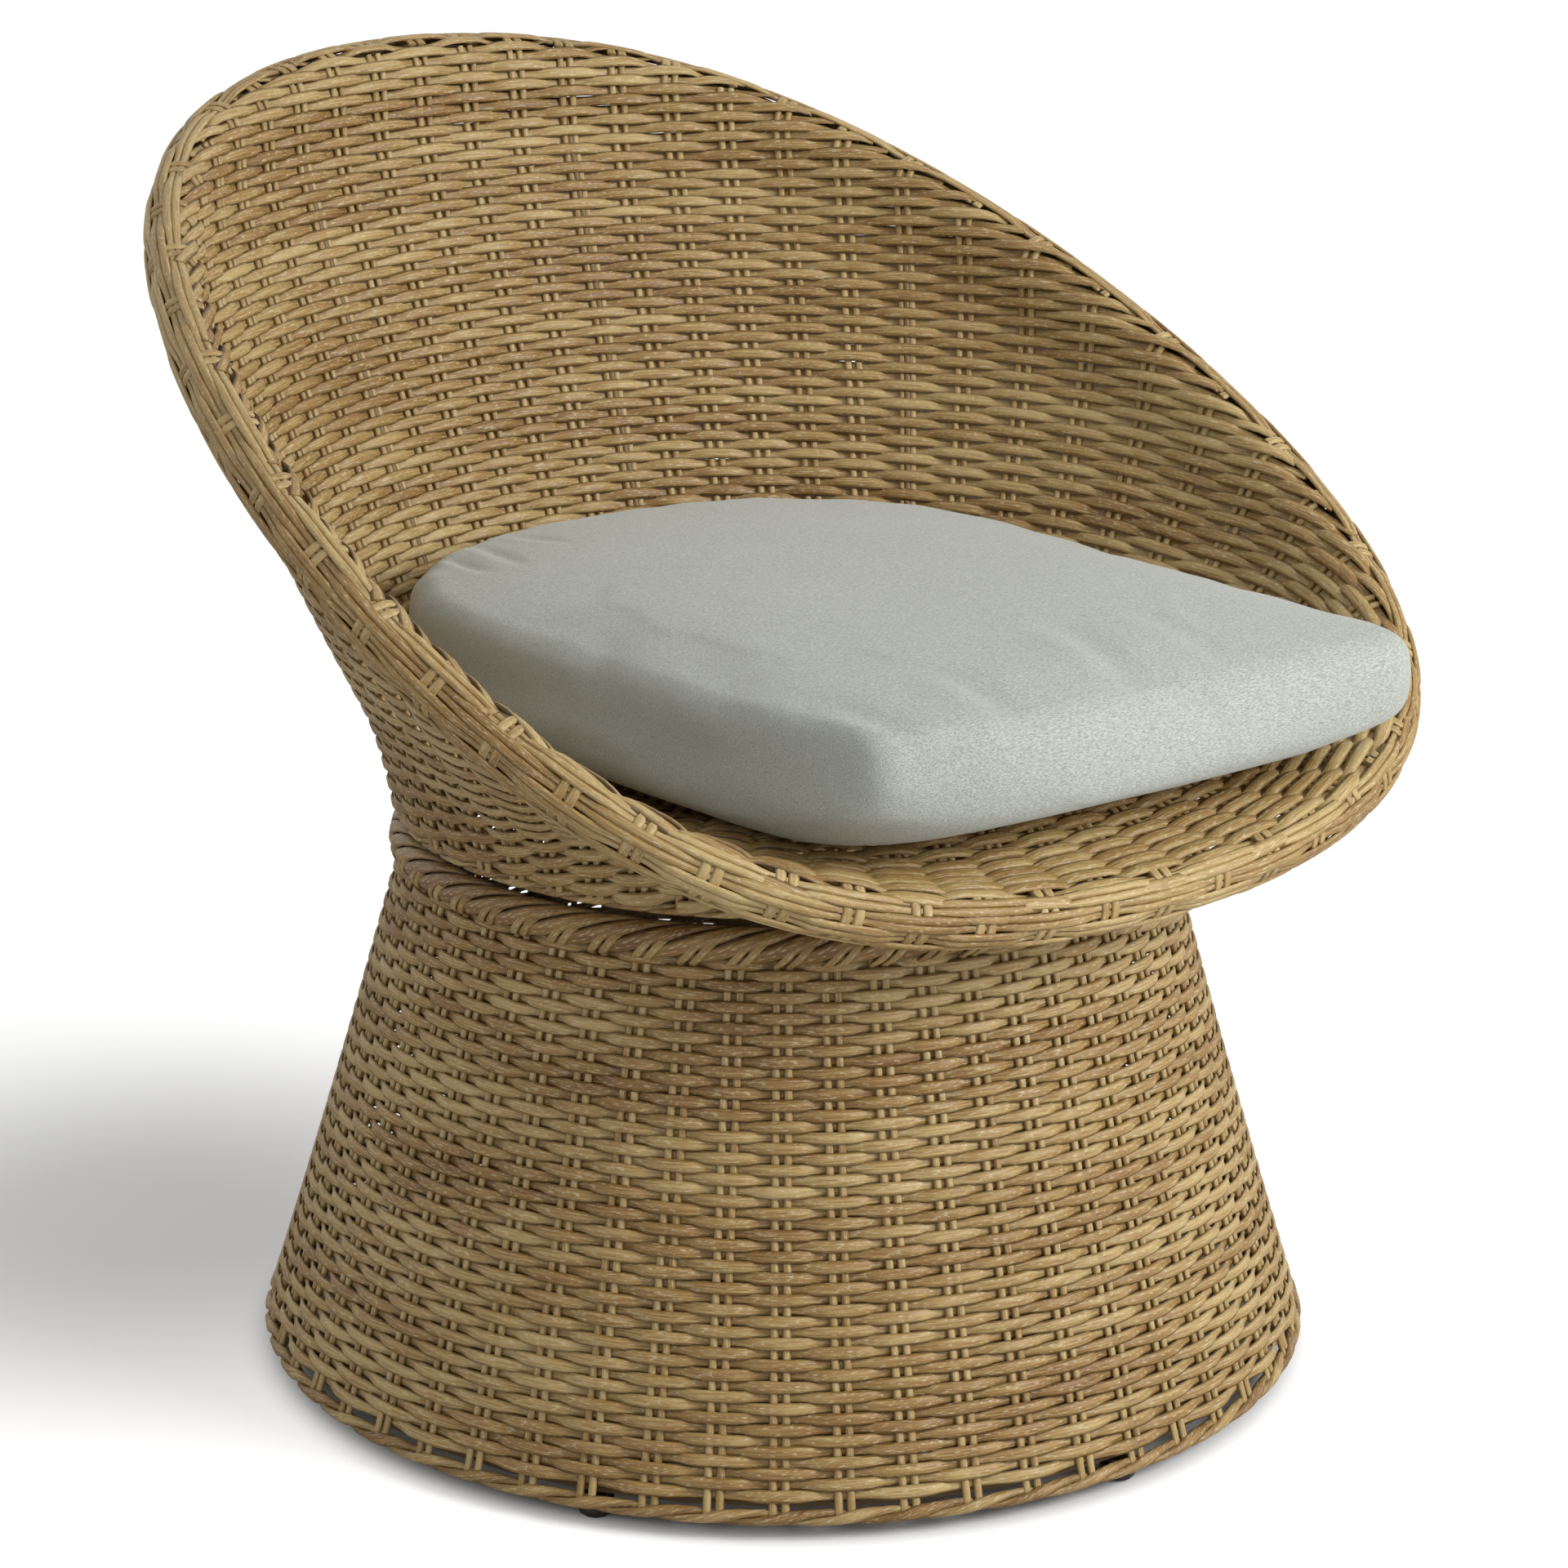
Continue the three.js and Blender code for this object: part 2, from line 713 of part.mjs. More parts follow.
function rimWrap() {
  const inner = rim_tube_radius + clearance;
  const frame = (angle) => {
    const { up, out } = bowlAxes(angle, 1);
    return {
      towards: up.negate(),
      across: out,
      from: slotAngle(inner),
      to: 2 * Math.PI - slotAngle(inner),
    };
  };
  return wrap(rimPoint, frame, inner, rim_wrap_radius, bowl_columns, rim_wrap_steps);
}

function rodPath(angle, extra) {
  const shares = bowlShares(angle, bowl_rows);
  const points = shares.map((share) => bowlPoint(angle, share));
  const outs = shares.map((share) => bowlAxes(angle, share).out);
  const last = points.length - 1;
  const start = points[0].clone().sub(points[1]).normalize().multiplyScalar(extra);
  const finish = points[last].clone().sub(points[last - 1]).normalize().multiplyScalar(extra);
  points[0].add(start);
  points[last].add(finish);
  return { points, outs };
}

function rod(angle) {
  const { points, outs } = rodPath(angle, clearance);
  return cut(rodAlong(points, outs, rod_diameter / 2), [
    hoop(rimPoint, rim_tube_radius + clearance, bowl_columns, tube_sides),
    hoop(bowlRingCentre, bowl_tube_radius + clearance, bowl_columns, tube_sides),
  ]);
}

// The weave has a channel round each rod, open at both edges
function bowlSkin() {
  const section = (angle, groove) => {
    const shares = bowlShares(angle, bowl_rows);
    const face = (half) => shares.map((share) => bowlPoint(angle, share)
      .addScaledVector(bowlAxes(angle, share).out, half));
    return face(skin_half - groove).concat(face(groove - skin_half).reverse());
  };
  const channels = angles(rod_count).map((angle) => {
    const { points, outs } = rodPath(angle, overrun);
    return rodAlong(points, outs, rod_diameter / 2 + clearance);
  });
  return cut(ribbed(section, bowl_columns, rod_count * stakes_per_rod), channels);
}

// Deck pieces

const deckRingCentre = (angle) => around(angle, deck_ring_radius, deck_ring_height);

function deckBar(y) {
  const reach = deck_ring_radius - deck_tube_radius - clearance;
  const blank = new THREE.CylinderGeometry(deck_tube_radius, deck_tube_radius, 2 * reach, tube_sides);
  blank.rotateY(Math.PI / tube_sides).rotateZ(Math.PI / 2).translate(0, y, deck_ring_height);
  const disc = turned([
    [0, deck_ring_height - deck_tube_diameter],
    [reach, deck_ring_height - deck_tube_diameter],
    [reach, deck_ring_height + deck_tube_diameter],
    [0, deck_ring_height + deck_tube_diameter],
  ], bowl_columns);
  return keepInside(blank, disc);
}

function deckPanel() {
  const inner = deck_ring_radius + deck_tube_radius + clearance;
  const outer = inner + deck_panel_thickness;
  const round = deck_panel_thickness * deck_round_share;
  return turned([
    [0, deck_bottom],
    [inner, deck_bottom],
    [inner, deck_bottom - deck_skirt_depth],
    [outer, deck_bottom - deck_skirt_depth],
    [outer, deck_top - round],
    [outer - round, deck_top],
    [0, deck_top],
  ], bowl_columns);
}

// Cushion pieces

// Plan of the cushion, drawn in by an inset: four bowed sides and round corners between them.
// The front corners are rounder by extra_round, as they are on the underside.
function cushionPlan(inset, extra_round) {
  const front_round = cushion_front_corner_radius + extra_round;
  const back_round = cushion_back_corner_radius;
  const front = cushion_front_width / 2 - front_round;
  const back = cushion_back_width / 2 - back_round;
  const near = front_round - cushion_front_reach;
  const far = cushion_back_reach - back_round;
  const corners = [
    { x: front, y: near, round: front_round, bow: cushion_side_bow },
    { x: back, y: far, round: back_round, bow: cushion_back_bow },
    { x: -back, y: far, round: back_round, bow: cushion_side_bow },
    { x: -front, y: near, round: front_round, bow: cushion_front_bow },
  ];
  const sides = corners.map((corner, i) => planSide(corner, corners[(i + 1) % corners.length]));
  return sides.flatMap((side, i) => {
    const next = sides[(i + 1) % sides.length];
    const corner = corners[(i + 1) % corners.length];
    const last_turn = side.last_turn + turnBetween(side, next);
    const turns = spread(side.last_turn, last_turn, cushion_corner_steps + 2).slice(1, -1);
    return side.points.concat(turns.map((turn) => ({ ...corner, turn })));
  }).map(({ x, y, round, turn }) => [
    x + Math.cos(turn) * (round - inset),
    y + Math.sin(turn) * (round - inset),
  ]);
}

// One side of the plan: points on the line between two corner middles, bowed out, each with its
// rounding and the direction that it faces
function planSide(start, finish) {
  const run = Math.hypot(finish.x - start.x, finish.y - start.y);
  const facing = Math.atan2(finish.y - start.y, finish.x - start.x) - Math.PI / 2;
  const spread_out = Math.asin((start.round - finish.round) / run);
  const lean = Math.atan((4 * start.bow) / run);
  const points = spread(0, 1, cushion_side_steps).map((share) => {
    const bow = 4 * start.bow * share * (1 - share);
    return {
      x: start.x + (finish.x - start.x) * share + Math.cos(facing) * bow,
      y: start.y + (finish.y - start.y) * share + Math.sin(facing) * bow,
      round: start.round + (finish.round - start.round) * share,
      turn: facing + spread_out + lean * (2 * share - 1),
    };
  });
  return { points, first_turn: points[0].turn, last_turn: points[points.length - 1].turn };
}

function turnBetween(side, next) {
  const full = 2 * Math.PI;
  return (((next.first_turn - side.last_turn) % full) + full) % full;
}

// How far each level is drawn in and rounded under, and its place in the belly and the side
const cushion_level_shares = [
  { inset_share: 1.9, round_share: 1, belly_share: 0, side_share: 0 },
  { inset_share: 0.9, round_share: 1, belly_share: 0.35, side_share: 0 },
  { inset_share: 0.2, round_share: 1, belly_share: 1, side_share: 0.03 },
  { inset_share: 0.02, round_share: 0.2, belly_share: 1, side_share: 0.25 },
  { inset_share: 0, round_share: 0, belly_share: 1, side_share: 0.5 },
  { inset_share: 0.03, round_share: 0, belly_share: 1, side_share: 0.78 },
  { inset_share: 0.2, round_share: 0, belly_share: 1, side_share: 1 },
];
const cushion_crown_shares = [
  { plan_share: 0.74, rise_share: 0.52 },
  { plan_share: 0.42, rise_share: 0.9 },
];

function cushionForm(inset) {
  const bottom = deck_top + clearance + inset;
  const side = cushion_side_height - 2 * inset;
  const centre_y = (cushion_back_reach - cushion_front_reach) / 2;
  const rings = cushion_level_shares.map(({ inset_share, round_share, belly_share, side_share }) => {
    const height = bottom + cushion_belly * belly_share + side * side_share;
    const plan = cushionPlan(inset + cushion_side_draw * inset_share, cushion_under_round * round_share);
    return plan.map(([x, y]) => new THREE.Vector3(x, y, height));
  });
  const edge = rings[rings.length - 1];
  for (const { plan_share, rise_share } of cushion_crown_shares) {
    rings.push(edge.map((point) => new THREE.Vector3(
      point.x * plan_share,
      centre_y + (point.y - centre_y) * plan_share,
      point.z + cushion_crown * rise_share,
    )));
  }
  const tip = new THREE.Vector3(0, centre_y, edge[0].z + cushion_crown);
  return cappedLoft(rings, new THREE.Vector3(0, centre_y, bottom), tip);
}

// A stack of rings closed by a point below and a point above
function cappedLoft(rings, low_point, high_point) {
  const per_ring = rings[0].length;
  const all = rings.flat().concat([low_point, high_point]);
  const positions = all.flatMap((point) => [point.x, point.y, point.z]);
  const low = all.length - 2;
  const high = all.length - 1;
  const top = (rings.length - 1) * per_ring;
  const faces = [];
  for (let j = 0; j < per_ring; j += 1) {
    const k = (j + 1) % per_ring;
    faces.push(low, k, j);
    faces.push(high, top + j, top + k);
    for (let i = 0; i < rings.length - 1; i += 1) {
      const here = i * per_ring;
      const next = here + per_ring;
      faces.push(here + j, here + k, next + k, here + j, next + k, next + j);
    }
  }
  return outward(positions, faces);
}

const zip_height = deck_top + clearance + cushion_belly + cushion_side_height / 2;

function zipBlock(length, width, depth_from, depth_to) {
  const block = new THREE.BoxGeometry(length, depth_to - depth_from, width);
  return block.translate(0, (depth_from + depth_to) / 2, zip_height);
}

const cushion_back_line = cushion_back_reach + cushion_back_bow;

function cushionCover() {
  const slot = zipBlock(zip_length, zip_width, 0, cushion_back_line + overrun);
  return cut(cushionForm(0), [cushionForm(cushion_cover_thickness), slot]);
}

function cushionZip() {
  const length = zip_length - 2 * clearance;
  const tape = zipBlock(length, zip_width - 2 * clearance, 0, cushion_back_line + overrun);
  const band = cut(cushionForm(0), [cushionForm(cushion_cover_thickness)]);
  return keepInside(band, tape);
}

function cushionCore() {
  return cushionForm(cushion_cover_thickness + clearance);
}

// The assembly

const chair = new THREE.Group();
chair.position.y = -footprint_shift;

function place(name, geometry, material) {
  const mesh = new THREE.Mesh(geometry, new THREE.MeshStandardMaterial(materials[material]));
  mesh.name = name;
  chair.add(mesh);
}

function buildBase() {
  place('base_skin', baseSkin(), 'weave');
  place('base_top_border', baseTopBorder(), 'weave');
  place('base_bottom_border', baseBottomBorder(), 'weave');
  place('base_bottom_ring', baseBottomRing(), 'frame');
  place('base_top_ring', hoop(topRingCentre, base_tube_radius, base_columns, tube_sides), 'frame');
  angles(upright_count).forEach((angle, i) => {
    place(`base_upright_${i + 1}`, baseUpright(angle), 'frame');
    place(`glide_${i + 1}`, glide(angle), 'glide');
  });
  const reach = top_ring_radius - base_tube_radius - clearance;
  const hole_height = base_bar_top - bar_wall / 2;
  const bottom = base_bar_top - base_bar_side;
  const bar = (x) => crossBar(base_bar_side, x, bottom, reach, hole_height, base_columns);
  place('base_bar_left', bar(-bar_spacing / 2), 'frame');
  place('base_bar_right', bar(bar_spacing / 2), 'frame');
}

function buildTurntable() {
  place('turntable_lower_plate', turntablePlate(1), 'zinc');
  place('turntable_upper_plate', turntablePlate(-1), 'zinc');
  place('turntable_ball_ring', ballRing(), 'steel');
  place('turntable_rivet', turntableRivet(), 'zinc');
  unit_corners.forEach(([sx, sy], i) => {
    const x = (sx * bar_spacing) / 2;
    const y = (sy * plate_screw_spacing) / 2;
    place(`lower_plate_screw_${i + 1}`, plateScrew(1, x, y), 'zinc');
    place(`upper_plate_screw_${i + 1}`, plateScrew(-1, x, y), 'zinc');
  });
}

function buildBowl() {
  place('bowl_bottom_ring', hoop(bowlRingCentre, bowl_tube_radius, bowl_columns, tube_sides), 'frame');
  place('bowl_bottom_border', bowlBottomBorder(), 'weave');
  place('bowl_skin', bowlSkin(), 'weave');
  angles(rod_count).forEach((angle, i) => place(`bowl_rod_${i + 1}`, rod(angle), 'frame'));
  place('rim_hoop', hoop(rimPoint, rim_tube_radius, bowl_columns, tube_sides), 'frame');
  place('rim_wrap', rimWrap(), 'weave');
}

function buildSeat() {
  const reach = bowl_ring_radius - bowl_tube_radius - clearance;
  const hole_height = seat_bar_bottom + bar_wall / 2;
  const bar = (x) => crossBar(seat_bar_side, x, seat_bar_bottom, reach, hole_height, bowl_columns);
  place('seat_bar_left', bar(-bar_spacing / 2), 'frame');
  place('seat_bar_right', bar(bar_spacing / 2), 'frame');
  place('deck_ring', hoop(deckRingCentre, deck_tube_radius, bowl_columns, tube_sides), 'frame');
  for (let i = 0; i < deck_bar_count; i += 1) {
    place(`deck_bar_${i + 1}`, deckBar((i - (deck_bar_count - 1) / 2) * deck_bar_spacing), 'frame');
  }
  place('seat_deck', deckPanel(), 'weave');
}

function buildCushion() {
  place('cushion_cover', cushionCover(), 'fabric');
  place('cushion_core', cushionCore(), 'foam');
  place('cushion_zip', cushionZip(), 'zip');
}

buildBase();
buildTurntable();
buildBowl();
buildSeat();
buildCushion();

const model = new THREE.Group();
model.add(chair);

export default model;
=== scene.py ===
"""A swivel papasan chair of woven resin cane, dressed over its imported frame.

A flared drum on glides, a ball bearing turntable, and a woven bowl with a leaning rim and a loose cushion.
Metres, +Z up, the chair faces -Y. The swivel axis stands a little in front of the middle of the footprint.
"""

import json
import math

import bpy
import numpy as np
from mathutils import Matrix, Vector
from mathutils.kdtree import KDTree

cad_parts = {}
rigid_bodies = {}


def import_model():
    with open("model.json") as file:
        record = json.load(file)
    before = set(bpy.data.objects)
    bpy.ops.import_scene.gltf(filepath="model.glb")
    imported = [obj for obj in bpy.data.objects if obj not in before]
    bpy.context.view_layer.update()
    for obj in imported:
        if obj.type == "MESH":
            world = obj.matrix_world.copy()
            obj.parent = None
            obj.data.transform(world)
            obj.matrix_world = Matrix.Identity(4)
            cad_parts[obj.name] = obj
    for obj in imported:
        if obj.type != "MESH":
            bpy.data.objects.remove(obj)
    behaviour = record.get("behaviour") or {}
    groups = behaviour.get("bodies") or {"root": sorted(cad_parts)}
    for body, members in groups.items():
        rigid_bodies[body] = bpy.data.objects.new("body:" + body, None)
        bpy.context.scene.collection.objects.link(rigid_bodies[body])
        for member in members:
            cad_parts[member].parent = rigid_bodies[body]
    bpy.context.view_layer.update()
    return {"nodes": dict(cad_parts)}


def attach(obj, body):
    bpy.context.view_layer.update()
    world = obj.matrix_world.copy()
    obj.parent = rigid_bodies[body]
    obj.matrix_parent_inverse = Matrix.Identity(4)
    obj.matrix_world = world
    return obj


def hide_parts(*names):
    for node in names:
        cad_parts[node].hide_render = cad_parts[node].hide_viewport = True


for leftover in list(bpy.data.objects):
    bpy.data.objects.remove(leftover)
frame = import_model()
nodes = frame["nodes"]


# Camera: a long lens at standing height, looking down on the chair's left front, as the product was shot.
lens_length = 99.87
camera_place = (-1.6418, -2.0120, 1.1186)
camera_turn, camera_tilt, camera_roll = -39.683, 73.396, 0.327


def put_in_scene(name, data):
    """A new object in the scene that holds data."""
    made = bpy.data.objects.new(name, data)
    bpy.context.scene.collection.objects.link(made)
    return made


camera_data = bpy.data.cameras.new("long_lens")
camera_data.sensor_width = 36
camera_data.lens = lens_length
camera = put_in_scene("long_lens", camera_data)
camera.matrix_world = (
    Matrix.Translation(camera_place)
    @ Matrix.Rotation(math.radians(camera_turn), 4, "Z")
    @ Matrix.Rotation(math.radians(camera_tilt), 4, "X")
    @ Matrix.Rotation(math.radians(camera_roll), 4, "Z")
)
bpy.context.scene.camera = camera
bpy.context.scene.view_settings.view_transform = "Standard"


# Light: a white room, one large soft lamp in front on the right, which gives the strands their bright right ends,
# and a weak one in front on the left. The camera and the gloss see the room as pure white.
def add(tree, kind, settings={}, inputs={}):
    """Adds a node. settings are its properties, and inputs its sockets, each a value or a link."""
    made = tree.nodes.new(kind)
    for name, value in settings.items():
        setattr(made, name, value)
    for name, value in inputs.items():
        if isinstance(value, bpy.types.NodeSocket):
            tree.links.new(value, made.inputs[name])
        else:
            made.inputs[name].default_value = value
    return made


def linear(code):
    """A colour written in sRGB hex, as the linear red, green, blue and alpha that a socket holds."""
    parts = [int(code[i : i + 2], 16) / 255 for i in (0, 2, 4)]
    return [part / 12.92 if part <= 0.04045 else ((part + 0.055) / 1.055) ** 2.4 for part in parts] + [1.0]


room = bpy.data.worlds.new("white_room")
bpy.context.scene.world = room
room.use_nodes = True
tree = room.node_tree
tree.nodes.clear()
ray = add(tree, "ShaderNodeLightPath")
seen = add(
    tree, "ShaderNodeMath", {"operation": "MAXIMUM"},
    {0: ray.outputs["Is Camera Ray"], 1: ray.outputs["Is Glossy Ray"]},
)
seen = add(
    tree, "ShaderNodeMath", {"operation": "MAXIMUM"}, {0: seen.outputs[0], 1: ray.outputs["Is Transmission Ray"]},
)
level = add(tree, "ShaderNodeMapRange", {}, {"Value": seen.outputs[0], "To Min": 0.52, "To Max": 1.0})
white = add(tree, "ShaderNodeBackground", {}, {"Color": linear("ffffff"), "Strength": level.outputs["Result"]})
add(tree, "ShaderNodeOutputWorld", {}, {"Surface": white.outputs["Background"]})

for name, place, aim, size, power in (
    ("key_softbox", (1.05, -2.35, 1.62), (0.0, 0.0, 0.35), 1.2, 57),
    ("fill_softbox", (-1.8, -2.4, 1.9), (0.0, 0.0, 0.4), 1.8, 5),
):
    lamp = bpy.data.lights.new(name, "AREA")
    lamp.shape = "DISK"
    lamp.size = size
    lamp.energy = power
    lamp_object = put_in_scene(name, lamp)
    lamp_object.location = place
    lamp_object.rotation_euler = (Vector(aim) - Vector(place)).to_track_quat("-Z", "Y").to_euler()


# Floor: a white studio floor. It is drawn as white where nothing shades it, and keeps the chair's soft shadow.
# The lift to white stops at the drum's foot, so that the hollow behind the weave stays dark, and it is less in a
# round patch on the far left, a painted shadow laid where the chair's soft shadow falls.
swivel_y = -0.035326
lift_radius, lift_edge = 0.325, 0.02
floor_half = 9
shadow_middle = (-0.24, 0.36, 0.0)
shadow_reach = 0.46


def new_finish(name):
    """A new material and its empty node tree."""
    made = bpy.data.materials.new(name)
    made.use_nodes = True
    made.node_tree.nodes.clear()
    return made, made.node_tree


floor_mesh = bpy.data.meshes.new("studio_floor")
floor_corners = [(floor_half * x, floor_half * y, 0) for x, y in ((-1, -1), (1, -1), (1, 1), (-1, 1))]
floor_mesh.from_pydata(floor_corners, [], [(0, 1, 2, 3)])
floor = put_in_scene("studio_floor", floor_mesh)
floor_paint, tree = new_finish("white_floor_paint")
ray = add(tree, "ShaderNodeLightPath")
matt = add(tree, "ShaderNodeBsdfDiffuse", {}, {"Color": linear("d8d8d8")})
where = add(tree, "ShaderNodeTexCoord")
centred = add(
    tree, "ShaderNodeVectorMath", {"operation": "SUBTRACT"}, {0: where.outputs["Object"], 1: (0.0, swivel_y, 0.0)},
)
away = add(tree, "ShaderNodeVectorMath", {"operation": "LENGTH"}, {0: centred.outputs[0]})
outside = add(
    tree, "ShaderNodeMapRange", {"interpolation_type": "SMOOTHSTEP"},
    {"Value": away.outputs["Value"], "From Min": lift_radius - lift_edge, "From Max": lift_radius + lift_edge},
)
from_shadow = add(
    tree, "ShaderNodeVectorMath", {"operation": "SUBTRACT"}, {0: where.outputs["Object"], 1: shadow_middle},
)
distance = add(tree, "ShaderNodeVectorMath", {"operation": "LENGTH"}, {0: from_shadow.outputs[0]})
# Painted shadow: the lift to white is cut down in a round patch about shadow_middle.
clear = add(
    tree, "ShaderNodeMapRange", {"interpolation_type": "SMOOTHSTEP"},
    {
        "Value": distance.outputs["Value"], "From Min": 0.05, "From Max": shadow_reach, "To Min": 0.18,
        "To Max": 0.66,
    },
)
lift = add(tree, "ShaderNodeMath", {"operation": "MULTIPLY"}, {0: outside.outputs[0], 1: clear.outputs[0]})
lit = add(tree, "ShaderNodeEmission", {}, {"Color": linear("ffffff"), "Strength": lift.outputs[0]})
both = add(tree, "ShaderNodeAddShader", {}, {0: matt.outputs[0], 1: lit.outputs[0]})
shown = add(tree, "ShaderNodeMixShader", {}, {0: ray.outputs["Is Camera Ray"], 1: matt.outputs[0], 2: both.outputs[0]})
add(tree, "ShaderNodeOutputMaterial", {}, {"Surface": shown.outputs[0]})
floor_mesh.materials.append(floor_paint)


# Resin cane: extruded polyethylene strand, coloured through in streaks from straw to brown so that it passes
# for rattan. It gives long fine streaks, pale flecks, patches of lighter and darker strand, and a satin sheen.
# It also lays painted shade, a dark brown, on each strand's flanks, and more where the strand is sunk behind the
# stakes.
streak_length = 0.022
streak_width = 0.0009
fleck_length = 0.004
fleck_width = 0.0008
cane, tree = new_finish("streaked_resin_cane")
tone = add(tree, "ShaderNodeAttribute", {"attribute_name": "tone"})
grain = add(tree, "ShaderNodeAttribute", {"attribute_name": "grain"})
section = add(tree, "ShaderNodeAttribute", {"attribute_name": "section"})
sunk = add(tree, "ShaderNodeAttribute", {"attribute_name": "sunk"})
along = add(
    tree, "ShaderNodeVectorMath", {"operation": "MULTIPLY"},
    {0: grain.outputs["Vector"], 1: (1 / streak_length, 1 / streak_width, 1 / streak_width)},
)
streaks = add(
    tree, "ShaderNodeTexNoise", {}, {"Vector": along.outputs[0], "Scale": 1.0, "Detail": 3.0, "Roughness": 0.6},
)
short = add(
    tree, "ShaderNodeVectorMath", {"operation": "MULTIPLY"},
    {0: grain.outputs["Vector"], 1: (1 / fleck_length, 1 / fleck_width, 1 / fleck_width)},
)
flecks = add(tree, "ShaderNodeTexNoise", {}, {"Vector": short.outputs[0], "Scale": 1.0, "Detail": 1.0})
swing = add(
    tree, "ShaderNodeMapRange", {},
    {"Value": streaks.outputs[0], "From Min": 0.3, "From Max": 0.7, "To Min": -0.36, "To Max": 0.36},
)
mixed = add(
    tree, "ShaderNodeMath", {"operation": "ADD", "use_clamp": True}, {0: tone.outputs["Fac"], 1: swing.outputs[0]},
)
lower = add(tree, "ShaderNodeMapRange", {}, {"Value": mixed.outputs[0], "From Min": 0.0, "From Max": 0.5})
upper = add(tree, "ShaderNodeMapRange", {}, {"Value": mixed.outputs[0], "From Min": 0.5, "From Max": 1.0})
brown = add(
    tree, "ShaderNodeMix", {"data_type": "RGBA"}, {0: lower.outputs[0], 6: linear("734e24"), 7: linear("997842")},
)
straw = add(
    tree, "ShaderNodeMix", {"data_type": "RGBA"}, {0: upper.outputs[0], 6: brown.outputs[2], 7: linear("bda46e")},
)
pale = add(
    tree, "ShaderNodeMapRange", {},
    {"Value": flecks.outputs[0], "From Min": 0.58, "From Max": 0.70, "To Min": 0.0, "To Max": 0.50},
)
colour = add(
    tree, "ShaderNodeMix", {"data_type": "RGBA"}, {0: pale.outputs[0], 6: straw.outputs[2], 7: linear("dcd2ae")},
)
gloss = add(
    tree, "ShaderNodeMapRange", {},
    {"Value": streaks.outputs[0], "From Min": 0.3, "From Max": 0.7, "To Min": 0.42, "To Max": 0.58},
)
across = add(tree, "ShaderNodeSeparateXYZ", {}, {0: section.outputs["Vector"]})
flank = add(tree, "ShaderNodeMath", {"operation": "ABSOLUTE"}, {0: across.outputs["Y"]})
# Painted shade: the flanks, and more so where the strand is sunk, are darkened towards dark brown.
reached = add(
    tree, "ShaderNodeMath", {"operation": "MULTIPLY_ADD"}, {0: sunk.outputs["Fac"], 1: 0.50, 2: flank.outputs[0]},
)
painted_recess_shade = add(
    tree, "ShaderNodeMapRange", {"interpolation_type": "SMOOTHSTEP"},
    {"Value": reached.outputs[0], "From Min": 0.74, "From Max": 1.42, "To Min": 0.0, "To Max": 0.74},
)
colour = add(
    tree, "ShaderNodeMix", {"data_type": "RGBA"}, {0: painted_recess_shade.outputs[0], 6: colour.outputs[2], 7: linear("4f3718")},
)
ridges = add(tree, "ShaderNodeBump", {}, {"Strength": 0.5, "Distance": 0.0005, "Height": streaks.outputs[0]})
surface = add(
    tree, "ShaderNodeBsdfPrincipled", {},
    {"Base Color": colour.outputs[2], "Roughness": gloss.outputs[0], "IOR": 1.51, "Normal": ridges.outputs[0]},
)
add(tree, "ShaderNodeOutputMaterial", {}, {"Surface": surface.outputs[0]})

# Strand: a flat, six sided strip swept along its path, a little uneven along its length. The same tree
# lays weavers, stakes, binders and twine, from a path that says where the strand faces, swells and pales.
strand_tree = bpy.data.node_groups.new("laid_strand", "GeometryNodeTree")
for label, socket, way in (
    ("Paths", "NodeSocketGeometry", "INPUT"),
    ("Width", "NodeSocketFloat", "INPUT"),
    ("Thickness", "NodeSocketFloat", "INPUT"),
    ("Sides", "NodeSocketInt", "INPUT"),
    ("Unevenness", "NodeSocketFloat", "INPUT"),
    ("Seed", "NodeSocketFloat", "INPUT"),
    ("Finish", "NodeSocketMaterial", "INPUT"),
    ("Strands", "NodeSocketGeometry", "OUTPUT"),
):
    strand_tree.interface.new_socket(name=label, in_out=way, socket_type=socket)
given = add(strand_tree, "NodeGroupInput")
paths = add(strand_tree, "GeometryNodeMeshToCurve", {}, {"Mesh": given.outputs["Paths"]})
facing = add(strand_tree, "GeometryNodeInputNamedAttribute", {"data_type": "FLOAT_VECTOR"}, {"Name": "facing"})
turned = add(
    strand_tree, "GeometryNodeSetCurveNormal", {"mode": "FREE"},
    {"Curve": paths.outputs[0], "Normal": facing.outputs[0]},
)
length = add(strand_tree, "GeometryNodeSplineParameter")
measured = add(
    strand_tree, "GeometryNodeStoreNamedAttribute", {"data_type": "FLOAT", "domain": "POINT"},
    {"Geometry": turned.outputs[0], "Name": "reach", "Value": length.outputs["Length"]},
)
ring = add(
    strand_tree, "GeometryNodeCurvePrimitiveCircle", {"mode": "RADIUS"},
    {"Resolution": given.outputs["Sides"], "Radius": 1.0},
)
place = add(strand_tree, "GeometryNodeInputPosition")
flat = add(strand_tree, "GeometryNodeTransform", {}, {"Geometry": ring.outputs[0], "Rotation": (0.0, 0.0, math.pi / 6)})
marked = add(
    strand_tree, "GeometryNodeStoreNamedAttribute", {"data_type": "FLOAT_VECTOR", "domain": "POINT"},
    {"Geometry": flat.outputs[0], "Name": "section", "Value": place.outputs[0]},
)
half_width = add(strand_tree, "ShaderNodeMath", {"operation": "MULTIPLY"}, {0: given.outputs["Width"], 1: 0.5})
half_depth = add(strand_tree, "ShaderNodeMath", {"operation": "MULTIPLY"}, {0: given.outputs["Thickness"], 1: 0.5})
squash = add(
    strand_tree, "ShaderNodeCombineXYZ", {}, {"X": half_depth.outputs[0], "Y": half_width.outputs[0], "Z": 1.0},
)
profile = add(strand_tree, "GeometryNodeTransform", {}, {"Geometry": marked.outputs[0], "Scale": squash.outputs[0]})
swell = add(strand_tree, "GeometryNodeInputNamedAttribute", {"data_type": "FLOAT"}, {"Name": "swell"})
